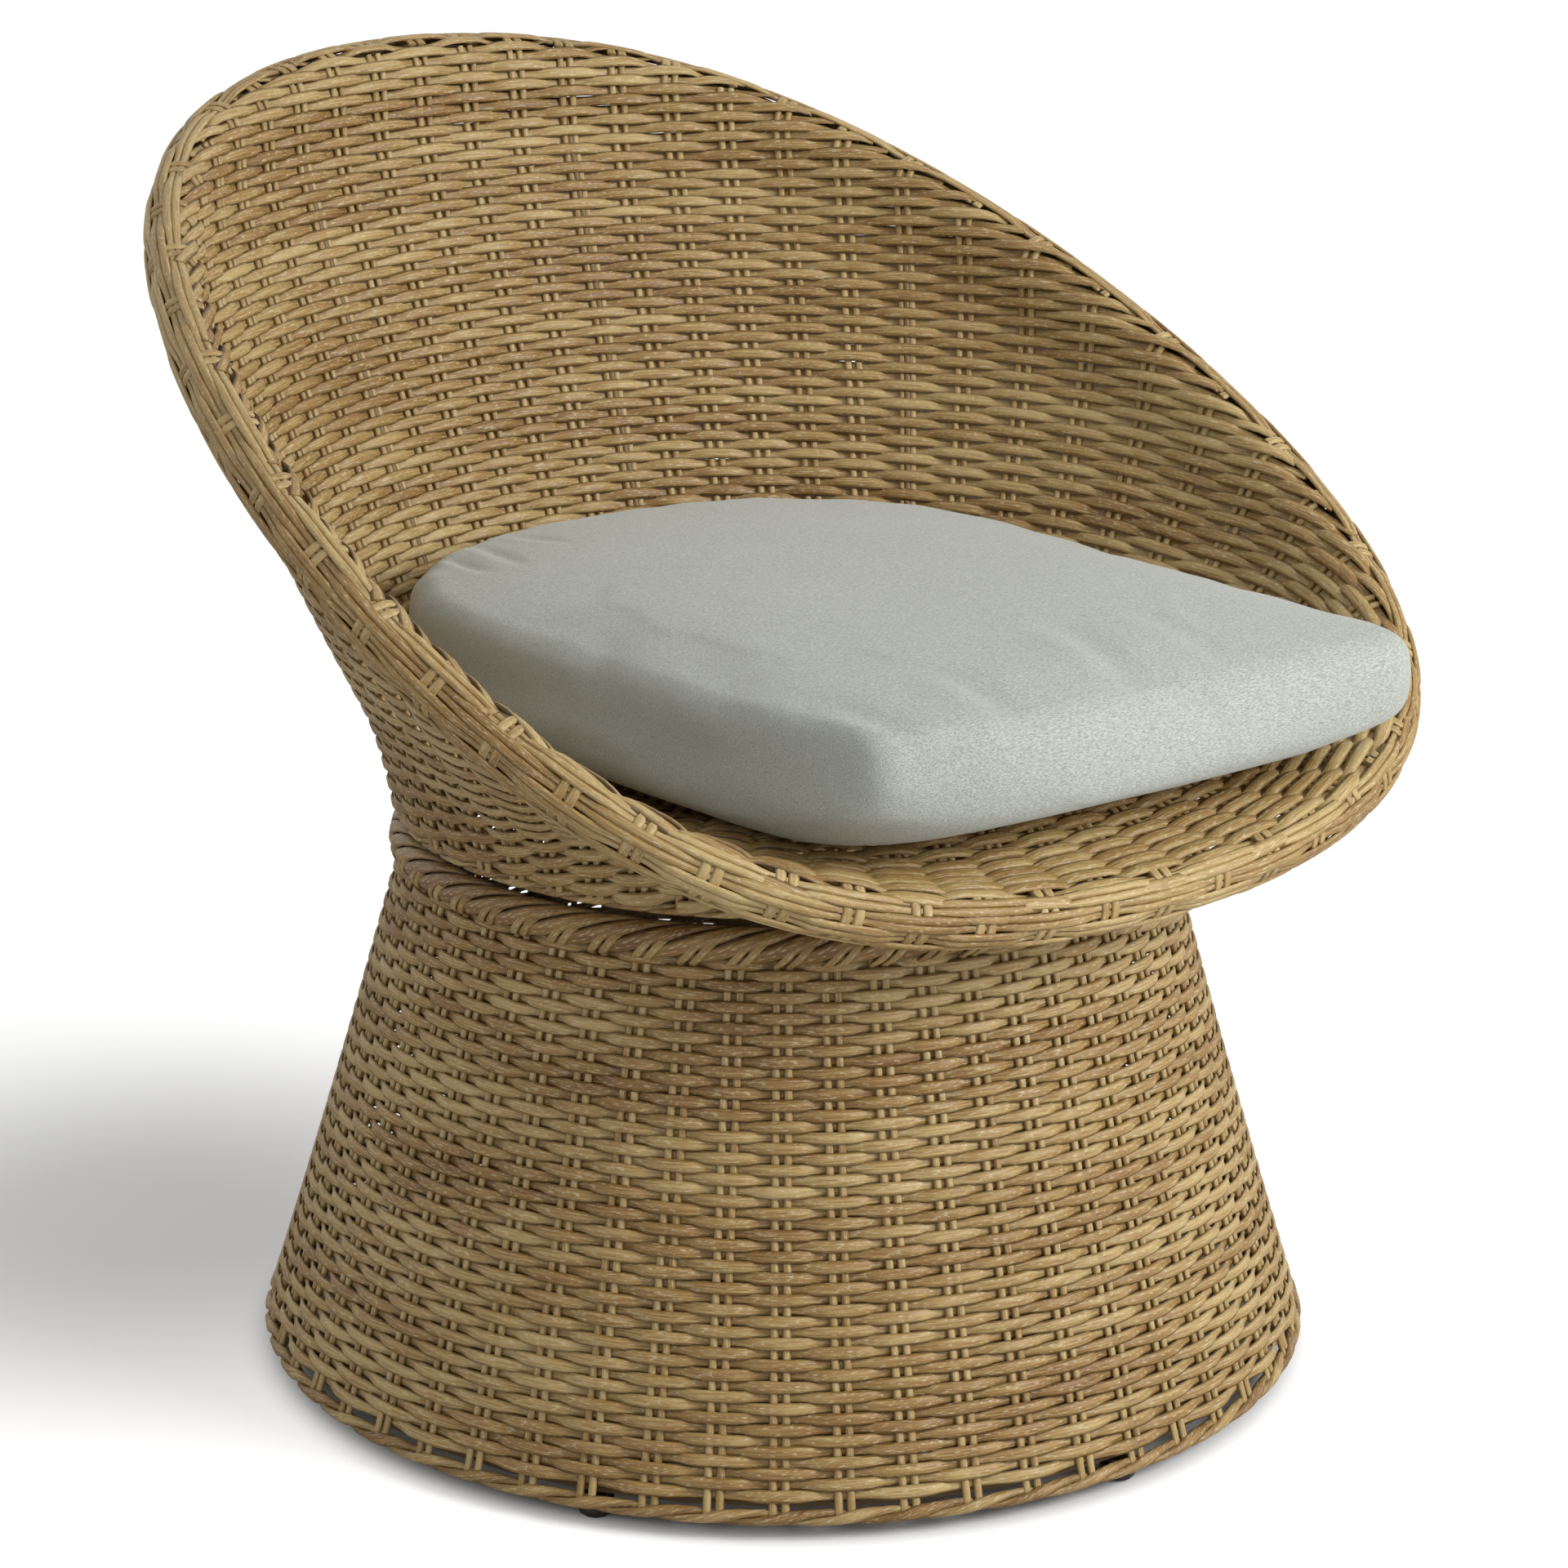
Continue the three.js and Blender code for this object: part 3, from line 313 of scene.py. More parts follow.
lumps = add(
    strand_tree, "ShaderNodeTexNoise", {"noise_dimensions": "4D"},
    {"Vector": place.outputs[0], "W": given.outputs["Seed"], "Scale": 45.0, "Detail": 1.0},
)
uneven = add(
    strand_tree, "ShaderNodeMapRange", {},
    {"Value": lumps.outputs[0], "From Min": 0.3, "From Max": 0.7, "To Min": -1.0, "To Max": 1.0},
)
change = add(
    strand_tree, "ShaderNodeMath", {"operation": "MULTIPLY_ADD"},
    {0: uneven.outputs[0], 1: given.outputs["Unevenness"], 2: 1.0},
)
girth = add(strand_tree, "ShaderNodeMath", {"operation": "MULTIPLY"}, {0: change.outputs[0], 1: swell.outputs[0]})
swept = add(
    strand_tree, "GeometryNodeCurveToMesh", {},
    {
        "Curve": measured.outputs[0], "Profile Curve": profile.outputs[0], "Scale": girth.outputs[0],
        "Fill Caps": True,
    },
)
reach = add(strand_tree, "GeometryNodeInputNamedAttribute", {"data_type": "FLOAT"}, {"Name": "reach"})
section = add(strand_tree, "GeometryNodeInputNamedAttribute", {"data_type": "FLOAT_VECTOR"}, {"Name": "section"})
sized = add(
    strand_tree, "ShaderNodeVectorMath", {"operation": "MULTIPLY"}, {0: section.outputs[0], 1: squash.outputs[0]},
)
split = add(strand_tree, "ShaderNodeSeparateXYZ", {}, {0: sized.outputs[0]})
spun = add(
    strand_tree, "ShaderNodeCombineXYZ", {}, {"X": reach.outputs[0], "Y": split.outputs[1], "Z": split.outputs[0]},
)
grained = add(
    strand_tree, "GeometryNodeStoreNamedAttribute", {"data_type": "FLOAT_VECTOR", "domain": "POINT"},
    {"Geometry": swept.outputs[0], "Name": "grain", "Value": spun.outputs[0]},
)
smooth = add(strand_tree, "GeometryNodeSetShadeSmooth", {}, {"Geometry": grained.outputs[0]})
whole = add(strand_tree, "GeometryNodeRealizeInstances", {}, {"Geometry": smooth.outputs[0]})
painted = add(
    strand_tree, "GeometryNodeSetMaterial", {},
    {"Geometry": whole.outputs[0], "Material": given.outputs["Finish"]},
)
add(strand_tree, "NodeGroupOutput", {}, {"Strands": painted.outputs[0]})
strand_inputs = {item.name: item.identifier for item in strand_tree.interface.items_tree if item.in_out == "INPUT"}


def applied(piece):
    """The piece's mesh with its modifiers applied."""
    bpy.context.view_layer.update()
    done = bpy.data.meshes.new_from_object(piece.evaluated_get(bpy.context.evaluated_depsgraph_get()))
    piece.modifiers.clear()
    piece.data = done
    return done


def lay(name, runs, width, thickness, body, sides=6, unevenness=0.07, seed=1.0):
    """Lays strands as one piece that rides on body. Each run is place, facing, swell, tone, sunk and closed."""
    edges, start = [], 0
    for run in runs:
        count, closed = len(run[0]), run[-1]
        ends = np.arange(start, start + count)
        pairs = np.stack([ends[:-1], ends[1:]], 1)
        edges.append(np.vstack([pairs, [[ends[-1], ends[0]]]]) if closed else pairs)
        start += count
    sheet = bpy.data.meshes.new(name)
    sheet.vertices.add(start)
    sheet.vertices.foreach_set("co", np.concatenate([run[0] for run in runs]).astype(np.float32).ravel())
    edges = np.concatenate(edges).astype(np.int32)
    sheet.edges.add(len(edges))
    sheet.edges.foreach_set("vertices", edges.ravel())
    for label, kind, field, index in (
        ("facing", "FLOAT_VECTOR", "vector", 1), ("swell", "FLOAT", "value", 2), ("tone", "FLOAT", "value", 3),
        ("sunk", "FLOAT", "value", 4),
    ):
        attribute = sheet.attributes.new(label, kind, "POINT")
        attribute.data.foreach_set(field, np.concatenate([run[index] for run in runs]).astype(np.float32).ravel())
    piece = put_in_scene(name, sheet)
    laid = piece.modifiers.new("strands", "NODES")
    laid.node_group = strand_tree
    for label, value in (
        ("Width", width), ("Thickness", thickness), ("Sides", sides), ("Unevenness", unevenness), ("Seed", seed),
        ("Finish", cane),
    ):
        laid[strand_inputs[label]] = value
    applied(piece).name = name
    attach(piece, body)
    return piece


# Base wall: fifty-four pairs of round reed stand up the drum and flat weavers go over one pair and under the
# next, row on row, packed close. Each weaver swells over the stakes and thins where it dives behind a pair.
stakes = 54
reed_width, reed_thickness = 0.0050, 0.0038
pair_gap = 0.0072
weaver_width = 0.0075
weaver_thickness = 0.0027
row_pitch = 0.0062
weave_lift = 0.0026
dive_share = 0.93
row_wander = 0.00022
base_foot_radius, base_waist_radius, base_head_radius = 0.326, 0.277, 0.2322
base_foot_height, base_head_height = 0.010, 0.326
base_wall_length = math.hypot(base_foot_radius - base_head_radius, base_head_height - base_foot_height)


def base_wall(angle, run):
    """Where the middle of the drum's wall is, so far up it from the foot, and the way it faces."""
    share = run / base_wall_length
    radius = (
        base_foot_radius * (1 - share) * (1 - 2 * share)
        + 4 * base_waist_radius * share * (1 - share)
        + base_head_radius * share * (2 * share - 1)
    )
    lean = (
        base_foot_radius * (4 * share - 3)
        + 4 * base_waist_radius * (1 - 2 * share)
        + base_head_radius * (4 * share - 1)
    )
    rise = base_head_height - base_foot_height
    size = np.hypot(rise, lean)
    place = np.stack([radius * np.sin(angle), swivel_y - radius * np.cos(angle), base_foot_height + rise * share], -1)
    face = np.stack([rise / size * np.sin(angle), -rise / size * np.cos(angle), -lean / size], -1)
    return place, face


patch_rows, patch_columns = 3, 16


def patches(rng, rows, stake_count):
    """A tone for each row and stake: broad light and dark patches, with a small change from strand to strand."""
    coarse = rng.random((rows // patch_rows + 3, patch_columns))
    row = np.arange(rows)[:, None] / patch_rows
    column = np.arange(stake_count)[None, :] * patch_columns / stake_count
    low_row, low_column = np.floor(row).astype(int), np.floor(column).astype(int)
    part_row, part_column = row - low_row, column - low_column
    part_row, part_column = part_row**2 * (3 - 2 * part_row), part_column**2 * (3 - 2 * part_column)
    here, beside = low_column % patch_columns, (low_column + 1) % patch_columns
    near = coarse[low_row, here] * (1 - part_column) + coarse[low_row, beside] * part_column
    far = coarse[low_row + 1, here] * (1 - part_column) + coarse[low_row + 1, beside] * part_column
    broad = near * (1 - part_row) + far * part_row
    single = rng.random((rows, 1)) * 0.30 + rng.random((rows, stake_count)) * 0.22
    return np.clip(0.12 + 0.62 * broad + single * 0.75, 0.0, 1.0)


def weavers(
    wall, numbers, run_at, keep, seed, lift=weave_lift, steps=8, dive=dive_share, shown=None, offset=0.0, stay=0.0,
    broad=None,
):
    """Rows of weaver round a wall, each over one pair of stakes and under the next, broken where keep says no.

    A weaver is full width where it stands proud on the shown side (1 outside, -1 inside), and takes more painted shade
    as it dives.
    The more it stays, the shorter its dives.
    """
    rng = np.random.default_rng(seed)
    count = stakes * steps
    phase = np.arange(count) / steps
    angle = 2 * math.pi * phase / stakes
    tones = patches(rng, len(numbers), stakes)
    runs = []
    for index, number in enumerate(numbers):
        wave = np.sin(math.pi / 2 * np.clip(np.cos(math.pi * (phase + number)) * (1 + stay) + stay, -1, 1))
        run = run_at(number, angle) + offset
        wander = rng.normal(0, row_wander, stakes)
        run = run + np.interp(phase, np.arange(stakes + 1), np.append(wander, wander[0]))
        place, face = wall(angle, run)
        place = place + face * (lift * wave)[:, None]
        proud = wave if shown is None else wave * shown(angle)
        swell = 1 - (1 - dive) * (1 - np.abs(proud))
        swell = swell * (1 + broad(angle)) if broad else swell
        # How far the weaver is sunk, which sets the painted shade that the cane lays on it.
        sunk = (1 - proud) / 2
        tone = np.interp(phase, np.arange(stakes + 1), np.append(tones[index], tones[index][0]))
        kept = keep(angle, run)
        if kept.all():
            runs.append((place, face, swell, tone, sunk, True))
            continue
        if not kept.any():
            continue
        turn = int(np.flatnonzero(~kept)[0])
        kept = np.roll(kept, -turn)
        bounds = np.flatnonzero(np.diff(np.concatenate([[0], kept.astype(int), [0]])))
        for first, last in zip(bounds[::2], bounds[1::2]):
            if last - first > steps // 2:
                parts = (np.roll(part, -turn, 0)[first:last] for part in (place, face, swell, tone, sunk))
                runs.append((*parts, False))
    return runs


# The reeds take a little painted shade on their flanks.
reed_sunk = 0.12


def reeds(wall, runs_of, count, seed, side_gap=pair_gap, tone_range=(0.55, 0.95)):
    """Pairs of reed along a wall, one pair at each stake. runs_of gives how far along the wall each point is."""
    rng = np.random.default_rng(seed)
    laid = []
    for stake in range(stakes):
        angle = 2 * math.pi * stake / stakes
        run = runs_of(angle, count)
        turn = np.full(count, angle)
        place, face = wall(turn, run)
        beside = wall(turn + 1e-4, run)[0] - wall(turn - 1e-4, run)[0]
        beside = beside / np.linalg.norm(beside, axis=1, keepdims=True)
        for side in (-0.5, 0.5):
            tone = np.full(count, rng.uniform(*tone_range)) + rng.normal(0, 0.06, count)
            along = place + beside * side * side_gap
            laid.append((along, face, np.ones(count), np.clip(tone, 0, 1), np.full(count, reed_sunk), False))
    return laid


def always(angle, run):
    return np.ones(len(angle), bool)


first_row_run, weave_margin = 0.014, 0.0225
base_rows = list(range(int((base_wall_length - weave_margin) / row_pitch) + 1))
base_pitch = (base_wall_length - weave_margin) / len(base_rows)
base_run = lambda number, angle: np.full(len(angle), first_row_run + (number + 0.5) * base_pitch)
half = len(base_rows) // 2
lower_rows = weavers(base_wall, base_rows[:half], base_run, always, seed=11)
base_weave = lay("base_weave_lower", lower_rows, weaver_width, weaver_thickness, "base")
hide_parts("base_skin")
upper_rows = weavers(base_wall, base_rows[half:], base_run, always, seed=12)
lay("base_weave_upper", upper_rows, weaver_width, weaver_thickness, "base")
up_drum = lambda angle, count: np.linspace(0.002, base_wall_length - 0.004, count)
lay("base_stakes", reeds(base_wall, up_drum, 14, seed=13), reed_width, reed_thickness, "base", unevenness=0.03)

# Base borders: at the top the stakes lean over the ring and each weaver's end slants up across three of them, so
# the edge is a tight slanting braid, and along the foot two strands are twined round the edge.
base_border_radius = 0.0098
border_lean, braid_lean = 4.0, 11.5
border_run = 0.0290
braid_width = 0.0094
braid_start, braid_points = -0.0035, 15
tie_start, tie_run, tie_points = -0.006, 0.0165, 9


def base_border(angle, run, lean=border_lean):
    """Where the border's strands lie, so far over the top ring from the drum's outer side, and the way they face."""
    turn = run / base_border_radius - 1.0
    leant = angle + np.maximum(run, 0) * lean
    out = np.stack([np.sin(leant), -np.cos(leant), 0 * leant], -1)
    face = out * np.cos(turn)[:, None] + np.stack([0 * turn, 0 * turn, np.sin(turn)], -1)
    centre = out * base_head_radius + np.array([0, swivel_y, base_head_height])
    return centre + face * base_border_radius, face


braid_rng = np.random.default_rng(21)
braid, ties = [], []
for stake in range(stakes):
    turn = 2 * math.pi * stake / stakes
    run = np.linspace(braid_start, border_run, braid_points)
    place, face = base_border(np.full(braid_points, turn), run, braid_lean)
    bow = np.sin(math.pi * np.linspace(0, 1, braid_points))
    place = place + face * (0.0011 * bow - 0.0004)[:, None]
    # The braid's tones are kept low, a painted shade where it lies under the bowl, and its ends take more painted shade
    # where they tuck in.
    tone = np.full(braid_points, braid_rng.uniform(0.15, 0.6))
    tone = np.clip(tone + braid_rng.normal(0, 0.04, braid_points), 0, 1)
    braid.append((place, face, 0.8 + 0.2 * bow, tone, 0.5 - 0.35 * bow, False))
    for side in (-0.5, 0.5):
        run = np.linspace(tie_start, tie_run, tie_points)
        place, face = base_border(np.full(tie_points, turn + side * pair_gap / base_head_radius), run)
        place = place + face * (0.0024 - 0.0034 * np.clip(run / tie_run, 0, 1) ** 2)[:, None]
        # The ties take a little painted shade on their flanks.
        tone = np.full(tie_points, braid_rng.uniform(0.4, 0.8))
        ties.append((place, face, np.ones(tie_points), tone, np.full(tie_points, 0.15), False))
border = lay("base_border_braid", braid, braid_width, 0.0030, "base")
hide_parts("base_top_border")
lay("base_border_ties", ties, reed_width, 0.0026, "base", unevenness=0.03)


def twine(ring_radius, height, coil, turns, seed):
    """Two strands twined round a level ring."""
    rng = np.random.default_rng(seed)
    runs = []
    for start in (0, math.pi):
        count = turns * 14
        angle = np.arange(count) * 2 * math.pi / count
        spin = turns * angle + start
        out = np.stack([np.sin(angle), -np.cos(angle), 0 * angle], -1)
        up = np.array([0, 0, 1.0])
        face = out * np.cos(spin)[:, None] + up * np.sin(spin)[:, None]
        centre = out * ring_radius + np.array([0, swivel_y, height])
        tone = np.clip(0.5 + 0.25 * np.sin(3 * angle + start) + rng.normal(0, 0.05, count), 0, 1)
        # The twine's flanks take a little painted shade.
        runs.append((centre + face * coil, face, np.ones(count), tone, np.full(count, 0.3), True))
    return runs


foot_strands = twine(ring_radius=0.3240, height=0.0146, coil=0.0024, turns=27, seed=23)
foot = lay("base_foot_twine", foot_strands, width=0.0074, thickness=0.0046, body="base")
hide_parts("base_bottom_border")


# Bowl wall: the same weave, worked up round the bowl's bottom ring. The rows keep their pitch, so the low front
# takes few and the high back many, and the upper rows run out at the rim.
bowl_ring_radius, bowl_ring_height = 0.226, 0.3570
foot_flare, foot_drop, foot_share = 0.0125, 0.0105, 0.24
bowl_bulge = 0.007


rim_half_breadth, rim_half_depth, rim_back = 0.345, 0.377, 0.021
rim_height, rim_rise = 0.560, 0.204
rim_front_breadth, rim_set_back, rim_flattening, rim_levelling = 0.0138, 0.014326, 0.021866, 0.008568


def rim_line(angle):
    """The middle of the rim hoop: an oval that leans back, broader towards the front and flattened at both ends."""
    across = rim_half_breadth * np.sin(angle) + rim_front_breadth * np.sin(2 * angle)
    along = swivel_y + rim_back - rim_half_depth * np.cos(angle)
    along = along + rim_set_back * np.cos(2 * angle) + rim_flattening * np.cos(3 * angle)
    height = rim_height - rim_rise * np.cos(angle) + rim_levelling * np.cos(3 * angle)
    return np.stack([across, along, height], -1)


def unit(vectors):
    return vectors / np.linalg.norm(vectors, axis=-1, keepdims=True)


fold_radius = 0.0128
fold_run = 0.058
shelf_lift = 0.060
shelf_from, shelf_over = 0.17, 0.65
collar_share = 0.22


def bowl_line(angle, share, flared=1.0):
    """The middle of the bowl's wall: share 0 is its foot and 1 is the rim hoop.

    The foot flares round the bottom ring. At the front the wall climbs a short collar to the deck, and then falls
    away outwards to the low rim.
    """
    out = np.stack([np.sin(angle), -np.cos(angle), 0 * angle], -1)
    low = out * bowl_ring_radius + np.array([0, swivel_y, bowl_ring_height])
    run = rim_line(angle) - low
    away = out * run[..., 2:3]
    away[..., 2] = -np.hypot(run[..., 0], run[..., 1])
    front = np.clip((np.cos(angle) - shelf_from) / shelf_over, 0, 1)
    collar = np.clip(share / collar_share, 0, 1)
    raised = shelf_lift * front**2 * (3 - 2 * front) * collar**2 * (3 - 2 * collar) * (1 - share)
    flare = (flared * np.clip(1 - share / foot_share, 0, 1) ** 2)[..., None]
    share = share[..., None]
    foot = flare * (out * foot_flare - np.array([0, 0, foot_drop]))
    bulge = unit(away) * 4 * bowl_bulge * share * (1 - share)
    return low + run * share + bulge + foot + np.array([0, 0, 1.0]) * raised[..., None]


wall_shares = np.linspace(0, 1, 61)


def bowl_reach(angle):
    """How far up the wall, along it, each of the wall shares is."""
    grid = bowl_line(np.repeat(angle[:, None], len(wall_shares), 1), np.repeat(wall_shares[None], len(angle), 0))
    steps = np.linalg.norm(np.diff(grid, axis=1), axis=2)
    return np.concatenate([np.zeros((len(angle), 1)), np.cumsum(steps, 1)], 1)


def bowl_length(angle):
    return bowl_reach(angle)[:, -1]


def bowl_wall(angle, run):
    """Where the middle of the bowl's wall is, so far up it from the foot, and the way its outside faces.

    Near the rim the weave passes inside the hoop, and then folds over the top of it.
    """
    reach = bowl_reach(angle)
    length = reach[:, -1]
    wanted = np.clip(run, 0, length)
    index = np.clip((reach[:, 1:-1] <= wanted[:, None]).sum(1), 0, len(wall_shares) - 2)
    near, far = (np.take_along_axis(reach, (index + k)[:, None], 1)[:, 0] for k in (0, 1))
    share = (index + (wanted - near) / (far - near)) / (len(wall_shares) - 1)
    step = 1e-4
    level = unit(bowl_line(angle + step, share) - bowl_line(angle - step, share))
    above = np.minimum(share + step, 1)
    climb = unit(bowl_line(angle, above) - bowl_line(angle, above - 2 * step))
    face = unit(np.cross(level, climb))
    rise = np.clip((run - length) / fold_run + 1, 0, 1)
    place = bowl_line(angle, share) - face * (fold_radius * rise * rise * (3 - 2 * rise))[:, None]
    over = np.maximum(run - length, 0) / fold_radius
    up = unit(np.cross(face, level))
    over_face = face * np.cos(over)[:, None] - up * np.sin(over)[:, None]
    over_place = rim_line(angle) - over_face * fold_radius
    past = (run > length)[:, None]
    return np.where(past, over_place, place), np.where(past, over_face, face)


front_length = bowl_length(np.zeros(1))[0]
bowl_edge = 0.003


def bowl_run(number, angle):
    """How far up the wall a row is. Round the front the rows turn to follow the rim."""
    bend = np.clip((np.cos(angle) - 0.05) / 0.75, 0, 1)
    follow = 0.75 * bend * bend * (3 - 2 * bend)
    return bowl_edge + (number + 0.5) * row_pitch + follow * (bowl_length(angle) - front_length)


fold_reach = 0.0155


def on_bowl(angle, run):
    return (run > bowl_edge) & (run < bowl_length(angle) + fold_reach)


proud_middle, proud_half, proud_fade = (math.radians(degrees) for degrees in (280, 38, 14))


def bowl_side(angle):
    """The side of the bowl's weave that the painted shade treats as proud: the outside round the left front, and
    elsewhere the inside.
    """
    turn = np.abs((angle - proud_middle + math.pi) % (2 * math.pi) - math.pi)
    share = np.clip((turn - proud_half) / proud_fade, 0, 1)
    return 1 - 2 * share * share * (3 - 2 * share)


def shelf_breadth(angle):
    """The strands lie broader where the front is nearly level, so that no light comes up between them."""
    return 0.05 + 0.16 * np.clip((np.cos(angle) + 0.1) / 0.6, 0, 1)


bowl_rows = weavers(bowl_wall, list(range(-14, 80)), bowl_run, on_bowl, 31, shown=bowl_side, broad=shelf_breadth)
middle = sum(len(run[0]) for run in bowl_rows) / 2
lower, upper, so_far = [], [], 0
for run in bowl_rows:
    (lower if so_far < middle else upper).append(run)
    so_far += len(run[0])
bowl_weave = lay("bowl_weave_lower", lower, weaver_width, weaver_thickness, "seat")
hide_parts("bowl_skin")
lay("bowl_weave_upper", upper, weaver_width, weaver_thickness, "seat")
up_bowl = lambda angle, count: np.linspace(0.001, bowl_length(np.array([angle]))[0] + 0.006, count)
lay("bowl_stakes", reeds(bowl_wall, up_bowl, 36, 33), reed_width, reed_thickness, "seat", unevenness=0.03)

# Bowl foot: the stakes end in a twined edge that hangs just clear of the drum.
edge_strands = twine(ring_radius=0.2372, height=0.3462, coil=0.0016, turns=27, seed=34)
bowl_foot = lay("bowl_foot_twine", edge_strands, width=0.0060, thickness=0.0034, body="seat")
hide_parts("bowl_bottom_border")


# Rim: the stakes wrap round the hoop and double strands run along it through them, so the rim is a thick soft
# roll with a scalloped edge and short pairs of binder in a brick pattern.
rim_radius = 0.0152
rim_lift = 0.0013
rim_strand_width = 0.0054


def rim_wall(angle, run):
    """Where the rim's strands lie, so far round the hoop from the wall's outside, and the way they face."""
    step = 1e-4
    level = unit(rim_line(angle + step) - rim_line(angle - step))
    climb = unit(rim_line(angle) - bowl_line(angle, 0 * angle))
    out = unit(np.cross(level, climb))
    up = unit(np.cross(out, level))
    turn = run / rim_radius
    face = -up * np.cos(turn)[:, None] + out * np.sin(turn)[:, None]
    return rim_line(angle) + face * rim_radius, face


rim_start, rim_pitch, rim_rows = 0.0085, 0.0090, 6
rim_pair_half, binder_gap = 0.0023, 0.0074
rim_run = lambda number, angle: np.full(len(angle), rim_start + number * rim_pitch)
rim_strands = []
for side in (-rim_pair_half, rim_pair_half):
    rim_strands += weavers(
        rim_wall, list(range(rim_rows)), rim_run, always, 41, lift=rim_lift, dive=0.97, offset=side, stay=0.6
    )
rim = lay("rim_strands", rim_strands, rim_strand_width, 0.0030, "seat")
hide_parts("rim_wrap")
rim_reach = lambda angle, count: np.linspace(0.003, rim_start + rim_pitch * rim_rows, count)
binders = reeds(rim_wall, rim_reach, 22, 42, side_gap=binder_gap)
lay("rim_binders", binders, width=0.0066, thickness=0.0024, body="seat", unevenness=0.03)


# Seat deck: a flat panel of the same plain weave, turned down over the deck ring in a short skirt.
deck_radius, deck_skirt_radius = 0.2190, 0.2210
deck_height, deck_skirt_height = 0.3953, 0.3810
deck_stake_pitch, deck_edge_gap = 0.0270, 0.002
deck_rng = np.random.default_rng(51)


def deck_line(fixed, reach, along, wave, lift, steps):
    """A straight strand across the deck at one place, from edge to edge, rising and falling by wave."""
    count = max(int(2 * reach / steps), 4)
    run = np.linspace(-reach, reach, count)
    height = deck_height + lift * wave(run)
    flat = (run, np.full(count, fixed)) if along == "x" else (np.full(count, fixed), run)
    place = np.stack([flat[0], flat[1] + swivel_y, height], -1)
    tone = np.clip(deck_rng.uniform(0.3, 0.8) + deck_rng.normal(0, 0.05, count), 0, 1)
    # How far the strand is sunk sets its painted shade: more where it dips, and an even half on the level stakes.
    return place, np.tile([0.0, 0.0, 1.0], (count, 1)), np.ones(count), tone, (1 - wave(run)) / 2, False


deck_strands = []
deck_rows = int(2 * deck_radius / row_pitch)
for row in range(deck_rows):
    across = (row + 0.5 - deck_rows / 2) * row_pitch
    reach = math.sqrt(max(deck_radius**2 - across**2, 0)) - deck_edge_gap
    over_under = lambda run: np.sin(math.pi / 2 * np.cos(math.pi * (run / deck_stake_pitch + row)))
    if reach > 0.02:
        deck_strands.append(deck_line(across, reach, "x", over_under, lift=weave_lift, steps=0.0034))
deck_panel = lay("deck_panel", deck_strands, weaver_width, weaver_thickness, "seat")
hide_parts("seat_deck")

deck_stakes = []
for pair in range(-8, 9):
    for side in (-0.5, 0.5):
        across = pair * deck_stake_pitch + side * pair_gap
        if abs(across) < deck_radius - 0.004:
            reach = math.sqrt(deck_radius**2 - across**2) - deck_edge_gap
            deck_stakes.append(deck_line(across, reach, "y", lambda run: 0 * run, lift=0.0, steps=0.02))
lay("deck_stakes", deck_stakes, reed_width, 0.0036, "seat", unevenness=0.03)


def deck_side(angle, run):
    """The deck's skirt: an upright wall round the deck ring."""
    out = np.stack([np.sin(angle), -np.cos(angle), 0 * angle], -1)
    centre = np.stack([0 * angle, 0 * angle + swivel_y, deck_skirt_height + run], -1)
    return out * deck_skirt_radius + centre, out


skirt_start = 0.0035
skirt_run = lambda number, angle: np.full(len(angle), skirt_start + number * row_pitch)
skirt_rows = weavers(deck_side, [0, 1], skirt_run, always, 52, lift=0.0014)
lay("deck_skirt", skirt_rows, weaver_width, 0.0024, "seat")
deck_twine = twine(ring_radius=0.2195, height=0.3945, coil=0.0016, turns=40, seed=53)
lay("deck_edge", deck_twine, width=0.0060, thickness=0.0034, body="seat")


# Frame: mild steel tube, welded and powder coated a brown that is lost behind the cane. It gives a fine orange
# peel and a low sheen. A pattern's scale, here and below, is its cells per metre: 900 is a peel of about 1.1 mm.
paint, tree = new_finish("brown_powder_coat")
where = add(tree, "ShaderNodeTexCoord")
peel = add(tree, "ShaderNodeTexNoise", {}, {"Vector": where.outputs["Object"], "Scale": 900.0, "Detail": 2.0})
cloud = add(tree, "ShaderNodeTexNoise", {}, {"Vector": where.outputs["Object"], "Scale": 14.0, "Detail": 3.0})
brown = add(
    tree, "ShaderNodeMix", {"data_type": "RGBA"}, {0: cloud.outputs[0], 6: linear("6a5430"), 7: linear("806840")},
)
sheen = add(tree, "ShaderNodeMapRange", {}, {"Value": cloud.outputs[0], "To Min": 0.42, "To Max": 0.58})
bumps = add(tree, "ShaderNodeBump", {}, {"Strength": 0.25, "Distance": 0.0002, "Height": peel.outputs[0]})
surface = add(
    tree, "ShaderNodeBsdfPrincipled", {},
    {"Base Color": brown.outputs[2], "Roughness": sheen.outputs[0], "Normal": bumps.outputs[0]},
)
add(tree, "ShaderNodeOutputMaterial", {}, {"Surface": surface.outputs[0]})

# Turntable: zinc plated pressings, rivet and screws. Bright zinc shows a faint spangle and fine scuffs.
zinc, tree = new_finish("bright_zinc_plate")
where = add(tree, "ShaderNodeTexCoord")
spangle = add(tree, "ShaderNodeTexVoronoi", {}, {"Vector": where.outputs["Object"], "Scale": 160.0})
scuff = add(tree, "ShaderNodeTexNoise", {}, {"Vector": where.outputs["Object"], "Scale": 420.0, "Detail": 4.0})
grey = add(
    tree, "ShaderNodeMix", {"data_type": "RGBA"},
    {0: spangle.outputs["Distance"], 6: linear("c3c6c8"), 7: linear("a9adb0")},
)
rough = add(tree, "ShaderNodeMapRange", {}, {"Value": scuff.outputs[0], "To Min": 0.28, "To Max": 0.46})
surface = add(
    tree, "ShaderNodeBsdfPrincipled", {},
    {"Base Color": grey.outputs[2], "Metallic": 1.0, "Roughness": rough.outputs[0]},
)
add(tree, "ShaderNodeOutputMaterial", {}, {"Surface": surface.outputs[0]})

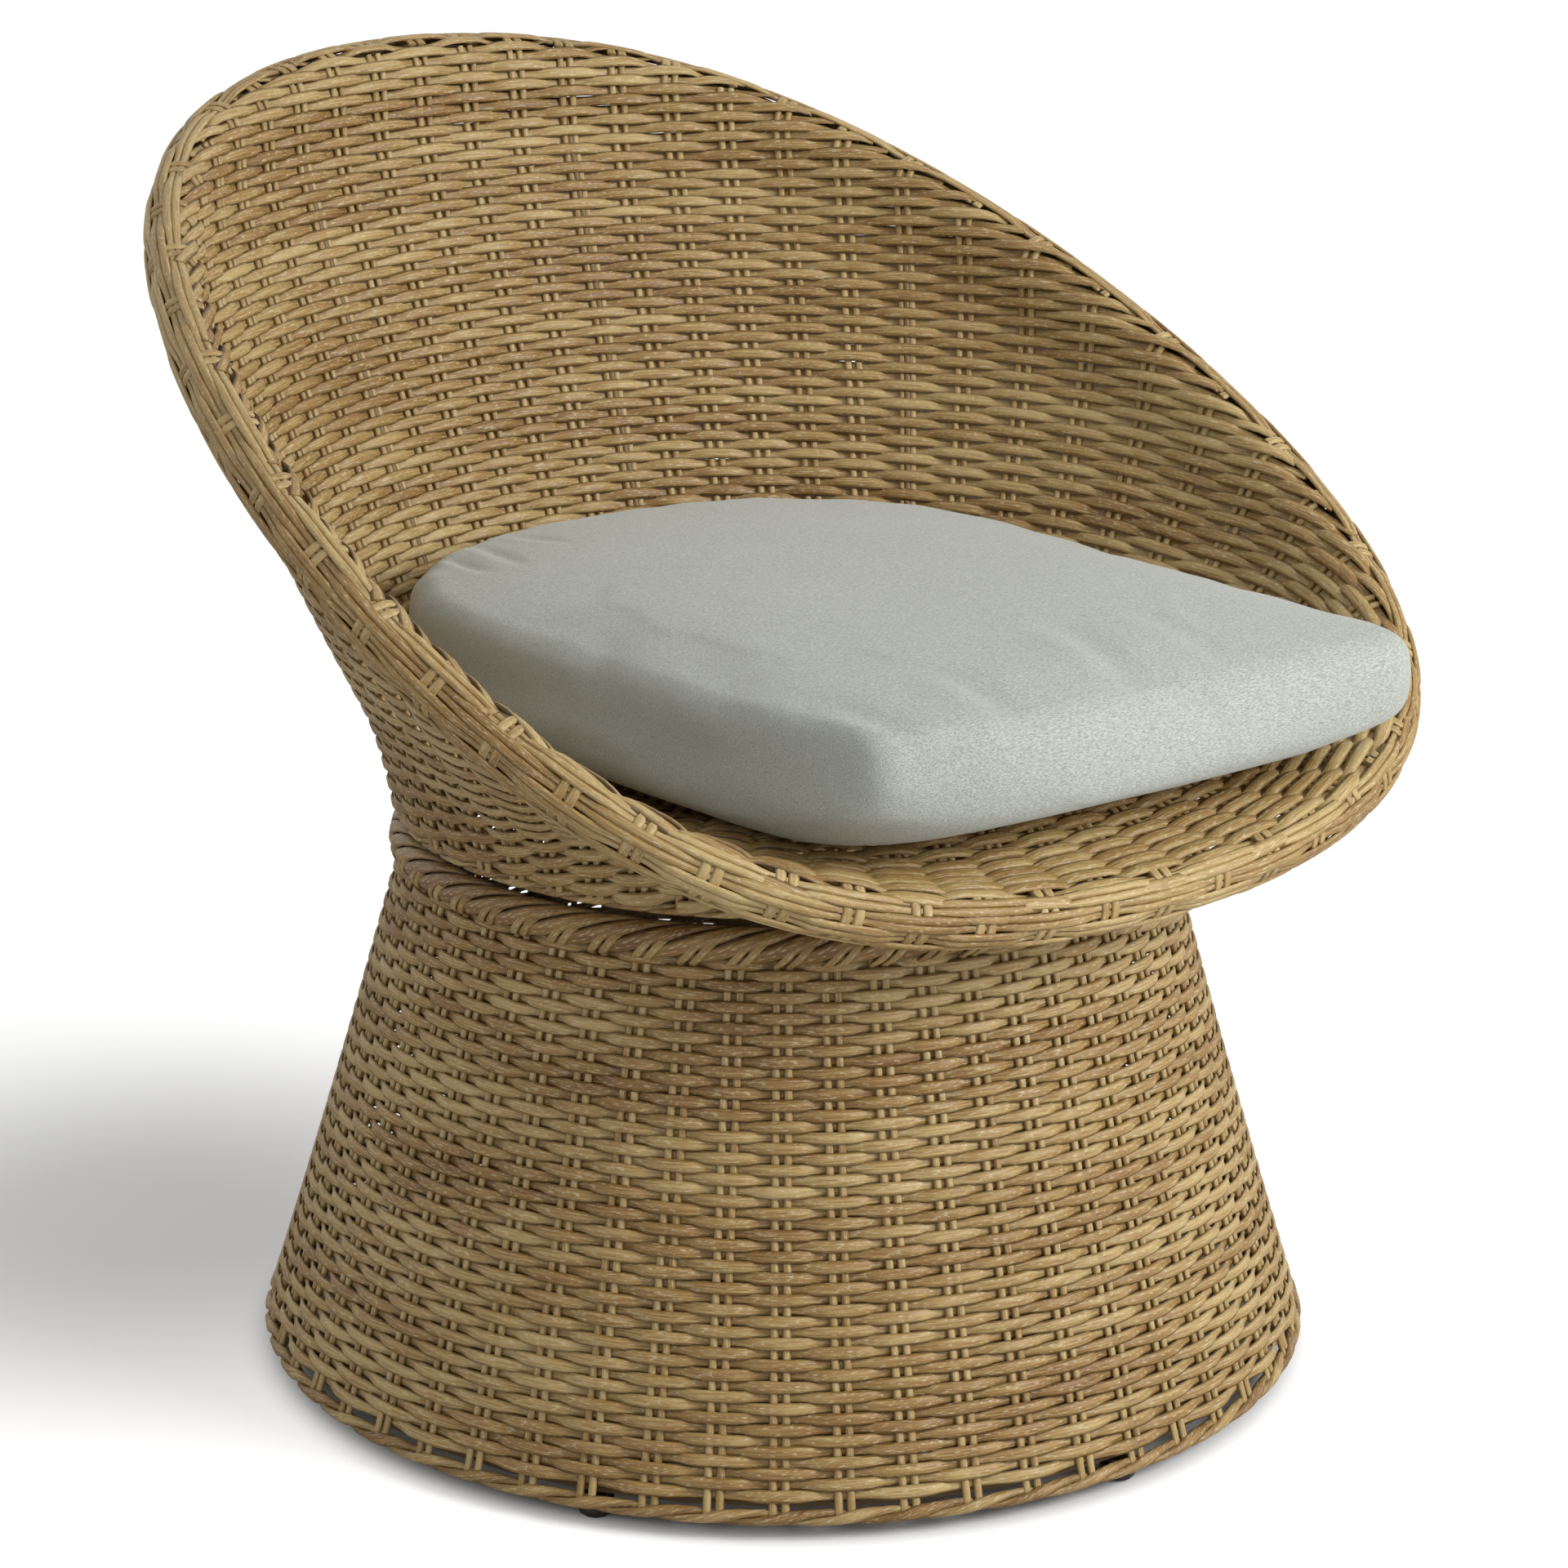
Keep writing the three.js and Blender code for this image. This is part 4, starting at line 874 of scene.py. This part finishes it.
# Balls: hardened bearing steel in their retainer, polished and lightly greased.
steel, tree = new_finish("polished_bearing_steel")
where = add(tree, "ShaderNodeTexCoord")
film = add(tree, "ShaderNodeTexNoise", {}, {"Vector": where.outputs["Object"], "Scale": 260.0, "Detail": 3.0})
rough = add(tree, "ShaderNodeMapRange", {}, {"Value": film.outputs[0], "To Min": 0.10, "To Max": 0.26})
surface = add(
    tree, "ShaderNodeBsdfPrincipled", {},
    {"Base Color": linear("cfd1d3"), "Metallic": 1.0, "Roughness": rough.outputs[0]},
)
add(tree, "ShaderNodeOutputMaterial", {}, {"Surface": surface.outputs[0]})

# Glides: injection moulded nylon feet, dark brown, with a fine spark eroded texture and scuffs under the sole.
nylon, tree = new_finish("moulded_brown_nylon")
where = add(tree, "ShaderNodeTexCoord")
texture = add(tree, "ShaderNodeTexNoise", {}, {"Vector": where.outputs["Object"], "Scale": 1400.0, "Detail": 2.0})
scuff = add(tree, "ShaderNodeTexNoise", {}, {"Vector": where.outputs["Object"], "Scale": 90.0, "Detail": 4.0})
dark = add(
    tree, "ShaderNodeMix", {"data_type": "RGBA"}, {0: scuff.outputs[0], 6: linear("1f1712"), 7: linear("32281f")},
)
bumps = add(tree, "ShaderNodeBump", {}, {"Strength": 0.3, "Distance": 0.0001, "Height": texture.outputs[0]})
surface = add(
    tree, "ShaderNodeBsdfPrincipled", {},
    {"Base Color": dark.outputs[2], "Roughness": 0.5, "IOR": 1.53, "Normal": bumps.outputs[0]},
)
add(tree, "ShaderNodeOutputMaterial", {}, {"Surface": surface.outputs[0]})

# Foam core and zip: cut polyurethane foam with open cells, and a woven tape with moulded teeth.
foam, tree = new_finish("cut_polyurethane_foam")
where = add(tree, "ShaderNodeTexCoord")
cells = add(tree, "ShaderNodeTexVoronoi", {}, {"Vector": where.outputs["Object"], "Scale": 700.0})
tint = add(
    tree, "ShaderNodeMix", {"data_type": "RGBA"},
    {0: cells.outputs["Distance"], 6: linear("c9bd84"), 7: linear("e2d8ab")},
)
pits = add(tree, "ShaderNodeBump", {}, {"Strength": 0.5, "Distance": 0.0006, "Height": cells.outputs["Distance"]})
surface = add(
    tree, "ShaderNodeBsdfPrincipled", {},
    {"Base Color": tint.outputs[2], "Roughness": 0.95, "Normal": pits.outputs[0]},
)
add(tree, "ShaderNodeOutputMaterial", {}, {"Surface": surface.outputs[0]})

tape, tree = new_finish("grey_zip_tape")
where = add(tree, "ShaderNodeTexCoord")
teeth = add(tree, "ShaderNodeTexWave", {"bands_direction": "X"}, {"Vector": where.outputs["Object"], "Scale": 160.0})
tint = add(
    tree, "ShaderNodeMix", {"data_type": "RGBA"},
    {0: teeth.outputs["Fac"], 6: linear("8f938a"), 7: linear("a9ada3")},
)
bumps = add(tree, "ShaderNodeBump", {}, {"Strength": 0.6, "Distance": 0.0008, "Height": teeth.outputs["Fac"]})
surface = add(
    tree, "ShaderNodeBsdfPrincipled", {},
    {"Base Color": tint.outputs[2], "Roughness": 0.7, "Normal": bumps.outputs[0]},
)
add(tree, "ShaderNodeOutputMaterial", {}, {"Surface": surface.outputs[0]})

# Bowl rods: nine painted steel rods woven in as stakes, from the bottom ring to the hoop. They follow the wall, also
# over the shelf at the front.
rod_count, rod_radius, rod_sides, rod_points = 9, 0.0025, 8, 40
rod_top_share, rod_flare_share = 0.985, 0.07


def sleeve_faces(first, rings, around):
    """The faces of a closed sleeve from its first corner: its side, ring by ring, and a cap at each end."""
    faces = []
    for ring in range(rings - 1):
        for side in range(around):
            here, there = first + ring * around + side, first + ring * around + (side + 1) % around
            faces.append((here, there, there + around, here + around))
    faces.append(tuple(first + side for side in reversed(range(around))))
    faces.append(tuple(first + (rings - 1) * around + side for side in range(around)))
    return faces


rod_corners, rod_faces = [], []
for number in range(rod_count):
    climb = np.linspace(0, rod_top_share, rod_points)
    turn = np.full(rod_points, number * 2 * math.pi / rod_count)
    path = bowl_line(turn, climb, np.clip(climb / rod_flare_share, 0, 1))
    along = unit(np.gradient(path, axis=0))
    level = np.stack([np.cos(turn), np.sin(turn), 0 * turn], -1)
    outward = unit(np.cross(level, along))
    rod_faces += sleeve_faces(len(rod_corners), rod_points, rod_sides)
    for place, side, face in zip(path, level, outward):
        for spin in np.linspace(0, 2 * math.pi, rod_sides, endpoint=False):
            rod_corners.append(tuple(place + rod_radius * (side * math.cos(spin) + face * math.sin(spin))))
rod_mesh = bpy.data.meshes.new("bowl_rods")
rod_mesh.from_pydata(rod_corners, [], rod_faces)
rod_mesh.polygons.foreach_set("use_smooth", [len(face) == 4 for face in rod_faces])
rod_mesh.materials.append(paint)
bowl_rods = put_in_scene("bowl_rods", rod_mesh)
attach(bowl_rods, "seat")
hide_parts(*[f"bowl_rod_{number + 1}" for number in range(rod_count)])

# What shows of the CAD solids takes the finish of its kind.
for label, node in nodes.items():
    if label.startswith("glide_"):
        finish, slot = nylon, "glide_plastic"
    elif label == "turntable_ball_ring":
        finish, slot = steel, "ball_steel"
    elif label.startswith("turntable_") or "screw" in label:
        finish, slot = zinc, "zinc_plate"
    elif label == "cushion_core":
        finish, slot = foam, "cushion_foam"
    elif label == "cushion_zip":
        finish, slot = tape, "zip_tape"
    elif label == "seat_deck":
        finish, slot = cane, "woven_cane"
    else:
        finish, slot = paint, "frame_paint"
    node.data.materials.clear()
    node.data.materials.append(finish)


# Cushion: a foam pad in a zipped cover of heathered grey outdoor cloth. It is plump, square to the front and
# round behind, with soft puckers where the cover is pulled over the front edge. Its flecks of paler and darker yarn
# are drawn about 2.4 mm long and 0.5 mm wide, coarser than the real ones, so that they show.
flecks_along, flecks_across = 420.0, 1900.0
cloth, tree = new_finish("heathered_grey_cloth")
where = add(tree, "ShaderNodeTexCoord")
threads = add(
    tree, "ShaderNodeMapping", {},
    {"Vector": where.outputs["Object"], "Scale": (flecks_along, flecks_across, flecks_across)},
)
heather = add(
    tree, "ShaderNodeTexNoise", {}, {"Vector": threads.outputs[0], "Scale": 1.0, "Detail": 2.0, "Roughness": 0.6},
)
shade = add(tree, "ShaderNodeMapRange", {}, {"Value": heather.outputs[0], "From Min": 0.36, "From Max": 0.64})
grey = add(
    tree, "ShaderNodeMix", {"data_type": "RGBA"}, {0: shade.outputs[0], 6: linear("93978e"), 7: linear("c1c5bb")},
)
bumps = add(tree, "ShaderNodeBump", {}, {"Strength": 0.28, "Distance": 0.0005, "Height": heather.outputs[0]})
surface = add(
    tree, "ShaderNodeBsdfPrincipled", {},
    {
        "Base Color": grey.outputs[2], "Roughness": 0.93, "Sheen Weight": 0.25, "Sheen Roughness": 0.5,
        "Normal": bumps.outputs[0],
    },
)
add(tree, "ShaderNodeOutputMaterial", {}, {"Surface": surface.outputs[0]})


def rows_of(mesh, field):
    """A mesh's points, where field is co, or their normals, where it is normal, one row each."""
    flat = np.empty(len(mesh.vertices) * 3, np.float32)
    mesh.vertices.foreach_get(field, flat)
    return flat.reshape(-1, 3).astype(float)


def move_to(mesh, points):
    mesh.vertices.foreach_set("co", points.astype(np.float32).ravel())
    mesh.update()


cover_points = rows_of(nodes["cushion_cover"].data, "co")
cover_low, cover_high = cover_points.min(0), cover_points.max(0)
pad_mesh = nodes["cushion_core"].data.copy()
pad_points = rows_of(pad_mesh, "co")
middle = (pad_points.min(0) + pad_points.max(0)) / 2
slack_scale = np.array([0.99, 0.99, 0.95])
move_to(pad_mesh, middle + (pad_points - middle) * slack_scale)
cushion = put_in_scene("cushion", pad_mesh)
remesh = cushion.modifiers.new("even_cells", "REMESH")
remesh.mode = "VOXEL"
remesh.voxel_size = 0.006
remesh.use_smooth_shade = True
soften = cushion.modifiers.new("soften", "SMOOTH")
soften.factor = 0.5
soften.iterations = 9
slack = rows_of(applied(cushion), "co")

# The pad swells against its cover like a filled bag.
cloth_frames, most_moved = 20, 0.024
swelling = cushion.modifiers.new("swelling", "CLOTH")
swelling.settings.use_pressure = True
swelling.settings.uniform_pressure_force = 1.2
swelling.settings.effector_weights.gravity = 0
swelling.settings.tension_stiffness = 60
swelling.settings.compression_stiffness = 60
swelling.settings.shear_stiffness = 24
swelling.settings.bending_stiffness = 0.5
swelling.point_cache.frame_start = 1
swelling.point_cache.frame_end = cloth_frames
for frame_number in range(1, cloth_frames + 1):
    bpy.context.scene.frame_set(frame_number)
swollen = rows_of(applied(cushion), "co")
bpy.context.scene.frame_set(1)
moved = swollen - slack
size = np.linalg.norm(moved, axis=1, keepdims=True)
slack = slack + moved * np.minimum(1, most_moved / np.maximum(size, 1e-9))
settle = cushion.modifiers.new("settle", "SMOOTH")
settle.factor = 0.5
settle.iterations = 8
move_to(cushion.data, slack)
slack = rows_of(applied(cushion), "co")
low, high = slack.min(0), slack.max(0)
full = cover_low + (slack - low) * (cover_high - cover_low) / (high - low)

# The sewn cover holds the swollen pad: half of its shape is the cover's, and half is the pad's own give.
cover_share = 0.50
tight = np.array([nodes["cushion_cover"].closest_point_on_mesh(Vector(point))[1] for point in full])
full = full + (tight - full) * cover_share
full = cover_low + (full - full.min(0)) * (cover_high - cover_low) / (full.max(0) - full.min(0))
centre = (cover_low + cover_high) / 2

# Its own weight presses the lower half out and down, until it lies against the rim and the bowl. Each point that
# would sink in is pushed back out to the strands' surface.
wall_clearance, rim_clearance = 0.0060, 0.0200
wall_turns, wall_climbs, rim_stops = 240, 40, 720
touch_height, touch_reach = 0.49, 0.05
sag_share, left_room, right_room, front_room = 0.12, 0.012, 0.009, 0.002
deck_gap = 0.0003
height = (full[:, 2] - cover_low[2]) / (cover_high[2] - cover_low[2])
sag = sag_share * np.sin(math.pi * np.clip(height / 0.85, 0, 1)) ** 2
full[:, 2] -= sag * (cover_high[2] - cover_low[2])
low_share = np.clip(1 - height / 0.60, 0, 1)
out = (full[:, :2] - centre[:2]) / (cover_high[:2] - centre[:2])
corner = np.clip(((out**2).sum(1) - 1.0) / 0.75, 0, 1) * np.clip(-out[:, 1] * 3, 0, 1)
corner = 0.55 * corner * corner * (3 - 2 * corner)
on_left = out[:, 0] < 0
draw_in = 1 - corner * np.where(on_left, 0.12 + 0.06 * low_share, -0.04)
widen = 1 + np.where(on_left, 0.15, 0.07) * low_share
shorten = 1 - np.interp(out[:, 0], [-1, 1], [0.08, 0.01]) * low_share * (out[:, 1] < 0)
full[:, :2] = centre[:2] + (full[:, :2] - centre[:2]) * np.stack([widen * draw_in, shorten * draw_in], 1)
full[:, :2] = np.clip(full[:, :2], cover_low[:2] - (left_room, front_room), cover_high[:2] + (right_room, 0.0))
turns = np.repeat(np.linspace(0, 2 * math.pi, wall_turns, endpoint=False), wall_climbs)
runs_up = np.tile(np.linspace(0.02, 1.0, wall_climbs), wall_turns) * bowl_length(turns)
wall_points, wall_faces = bowl_wall(turns, runs_up)
rim_points = rim_line(np.linspace(0, 2 * math.pi, rim_stops, endpoint=False))
wall_tree, rim_tree = KDTree(len(wall_points)), KDTree(len(rim_points))
for index, point in enumerate(wall_points):
    wall_tree.insert(point, index)
for index, point in enumerate(rim_points):
    rim_tree.insert(point, index)
wall_tree.balance()
rim_tree.balance()
for index, point in enumerate(full):
    if point[2] > touch_height:
        continue
    place, nearest, distance = wall_tree.find(point)
    depth = float(np.dot(wall_points[nearest] - point, wall_faces[nearest]))
    if distance < touch_reach and depth < wall_clearance:
        full[index] = point = point - wall_faces[nearest] * (wall_clearance - depth)
    place, nearest, distance = rim_tree.find(point)
    if distance < rim_clearance:
        full[index] = rim_points[nearest] + (point - rim_points[nearest]) * rim_clearance / distance
full[:, 2] = np.maximum(full[:, 2], cover_low[2] + deck_gap)
move_to(cushion.data, full)
finer = cushion.modifiers.new("finer", "SUBSURF")
finer.levels = 1
finer.render_levels = 1
cushion_mesh = applied(cushion)

# Puckers: short folds where the cover is pulled over the front edge and a pinch at the back left, each a valley
# with a soft ridge on its near side, and a faint slackness all over the top.
ripple_height = 0.0004
skin, facing_out = rows_of(cushion_mesh, "co"), rows_of(cushion_mesh, "normal")
for start, finish, width, depth in (
    ((-0.214, -0.245, 0.484), (-0.200, -0.330, 0.482), 0.0060, 0.0050),
    ((-0.176, -0.275, 0.488), (-0.168, -0.350, 0.484), 0.0105, 0.0024),
    ((-0.095, -0.285, 0.491), (-0.102, -0.355, 0.486), 0.0110, 0.0024),
    ((0.013, -0.258, 0.493), (-0.006, -0.350, 0.487), 0.0120, 0.0026),
    ((0.075, -0.262, 0.493), (0.066, -0.345, 0.487), 0.0110, 0.0018),
    ((-0.132, 0.137, 0.484), (-0.146, 0.075, 0.490), 0.0050, 0.0022),
    ((-0.101, 0.150, 0.484), (-0.122, 0.072, 0.490), 0.0055, 0.0018),
    ((-0.070, 0.155, 0.484), (-0.071, 0.092, 0.490), 0.0060, 0.0014),
):
    start, finish = np.array(start), np.array(finish)
    run = finish - start
    share = np.clip((skin - start) @ run / (run @ run), 0, 1)
    offset = skin - (start + share[:, None] * run)
    offset[:, 2] *= 0.25
    side = np.cross(run / np.linalg.norm(run), [0, 0, 1.0])
    from_fold = np.linalg.norm(offset, axis=1)
    fade = 0.25 + 0.75 * np.sin(math.pi * np.clip(share, 0.02, 0.98))
    valley = np.exp(-((from_fold / width) ** 2))
    ridge = np.exp(-(((offset @ side - 1.7 * width) / (1.2 * width)) ** 2)) * np.exp(-((from_fold / (3 * width)) ** 2))
    on_top = np.clip(facing_out[:, 2] * 3 + 0.5, 0, 1)
    skin = skin + facing_out * (depth * fade * (0.6 * ridge - valley) * on_top)[:, None]
ripple = np.sin(skin[:, 0] * 31 + 2.1 * np.sin(skin[:, 1] * 17))
ripple = ripple * np.sin(skin[:, 1] * 23 + 1.3 * np.sin(skin[:, 0] * 19))
skin = skin + facing_out * (ripple_height * ripple * np.clip(facing_out[:, 2] * 3, 0, 1))[:, None]
skin[:, 2] = np.maximum(skin[:, 2], cover_low[2] + deck_gap)
move_to(cushion_mesh, skin)
cushion_mesh.materials.clear()
cushion_mesh.materials.append(cloth)
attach(cushion, "cushion")
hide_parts("cushion_cover")

# Zip: a woven tape with a row of moulded teeth, sewn along the back of the cover.
zip_steps, zip_reach, zip_height = 240, 0.1490, 0.4590
tape_sink, tape_under, tooth_step = 0.0008, 0.0016, 0.0006
tape_rows = (
    (-0.0021, 0.0001), (-0.0019, 0.0006), (-0.0008, 0.0006), (-0.0006, 0.0013), (0.0006, 0.0013), (0.0008, 0.0006),
    (0.0019, 0.0006), (0.0021, 0.0001),
)
tape_points = []
for step in range(zip_steps + 1):
    across = zip_reach * (2 * step / zip_steps - 1)
    for rise, thick in tape_rows:
        _, place, outward, _ = cushion.ray_cast((across, 0.4, zip_height + rise), (0, -1, 0))
        gap = tooth_step if thick > 0.001 and step % 2 else 0.0
        tape_points.append(place + outward * (thick - gap))
    for rise in (tape_under, -tape_under):
        _, place, outward, _ = cushion.ray_cast((across, 0.4, zip_height + rise), (0, -1, 0))
        tape_points.append(place - outward * tape_sink)
tape_faces = sleeve_faces(0, zip_steps + 1, len(tape_rows) + 2)
tape_mesh = bpy.data.meshes.new("cover_zip")
tape_mesh.from_pydata([tuple(point) for point in tape_points], [], tape_faces)
tape_mesh.materials.append(tape)
cover_zip = put_in_scene("cover_zip", tape_mesh)
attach(cover_zip, "cushion")
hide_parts("cushion_zip")

# Foam core: the block inside, 4 mm within its cover all round.
core_inset = 0.004
core_mesh = cushion_mesh.copy()
move_to(core_mesh, skin - rows_of(cushion_mesh, "normal") * core_inset)
core_mesh.materials.clear()
core_mesh.materials.append(foam)
core = put_in_scene("foam_block", core_mesh)
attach(core, "cushion")
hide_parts("cushion_core")

bpy.context.view_layer.update()
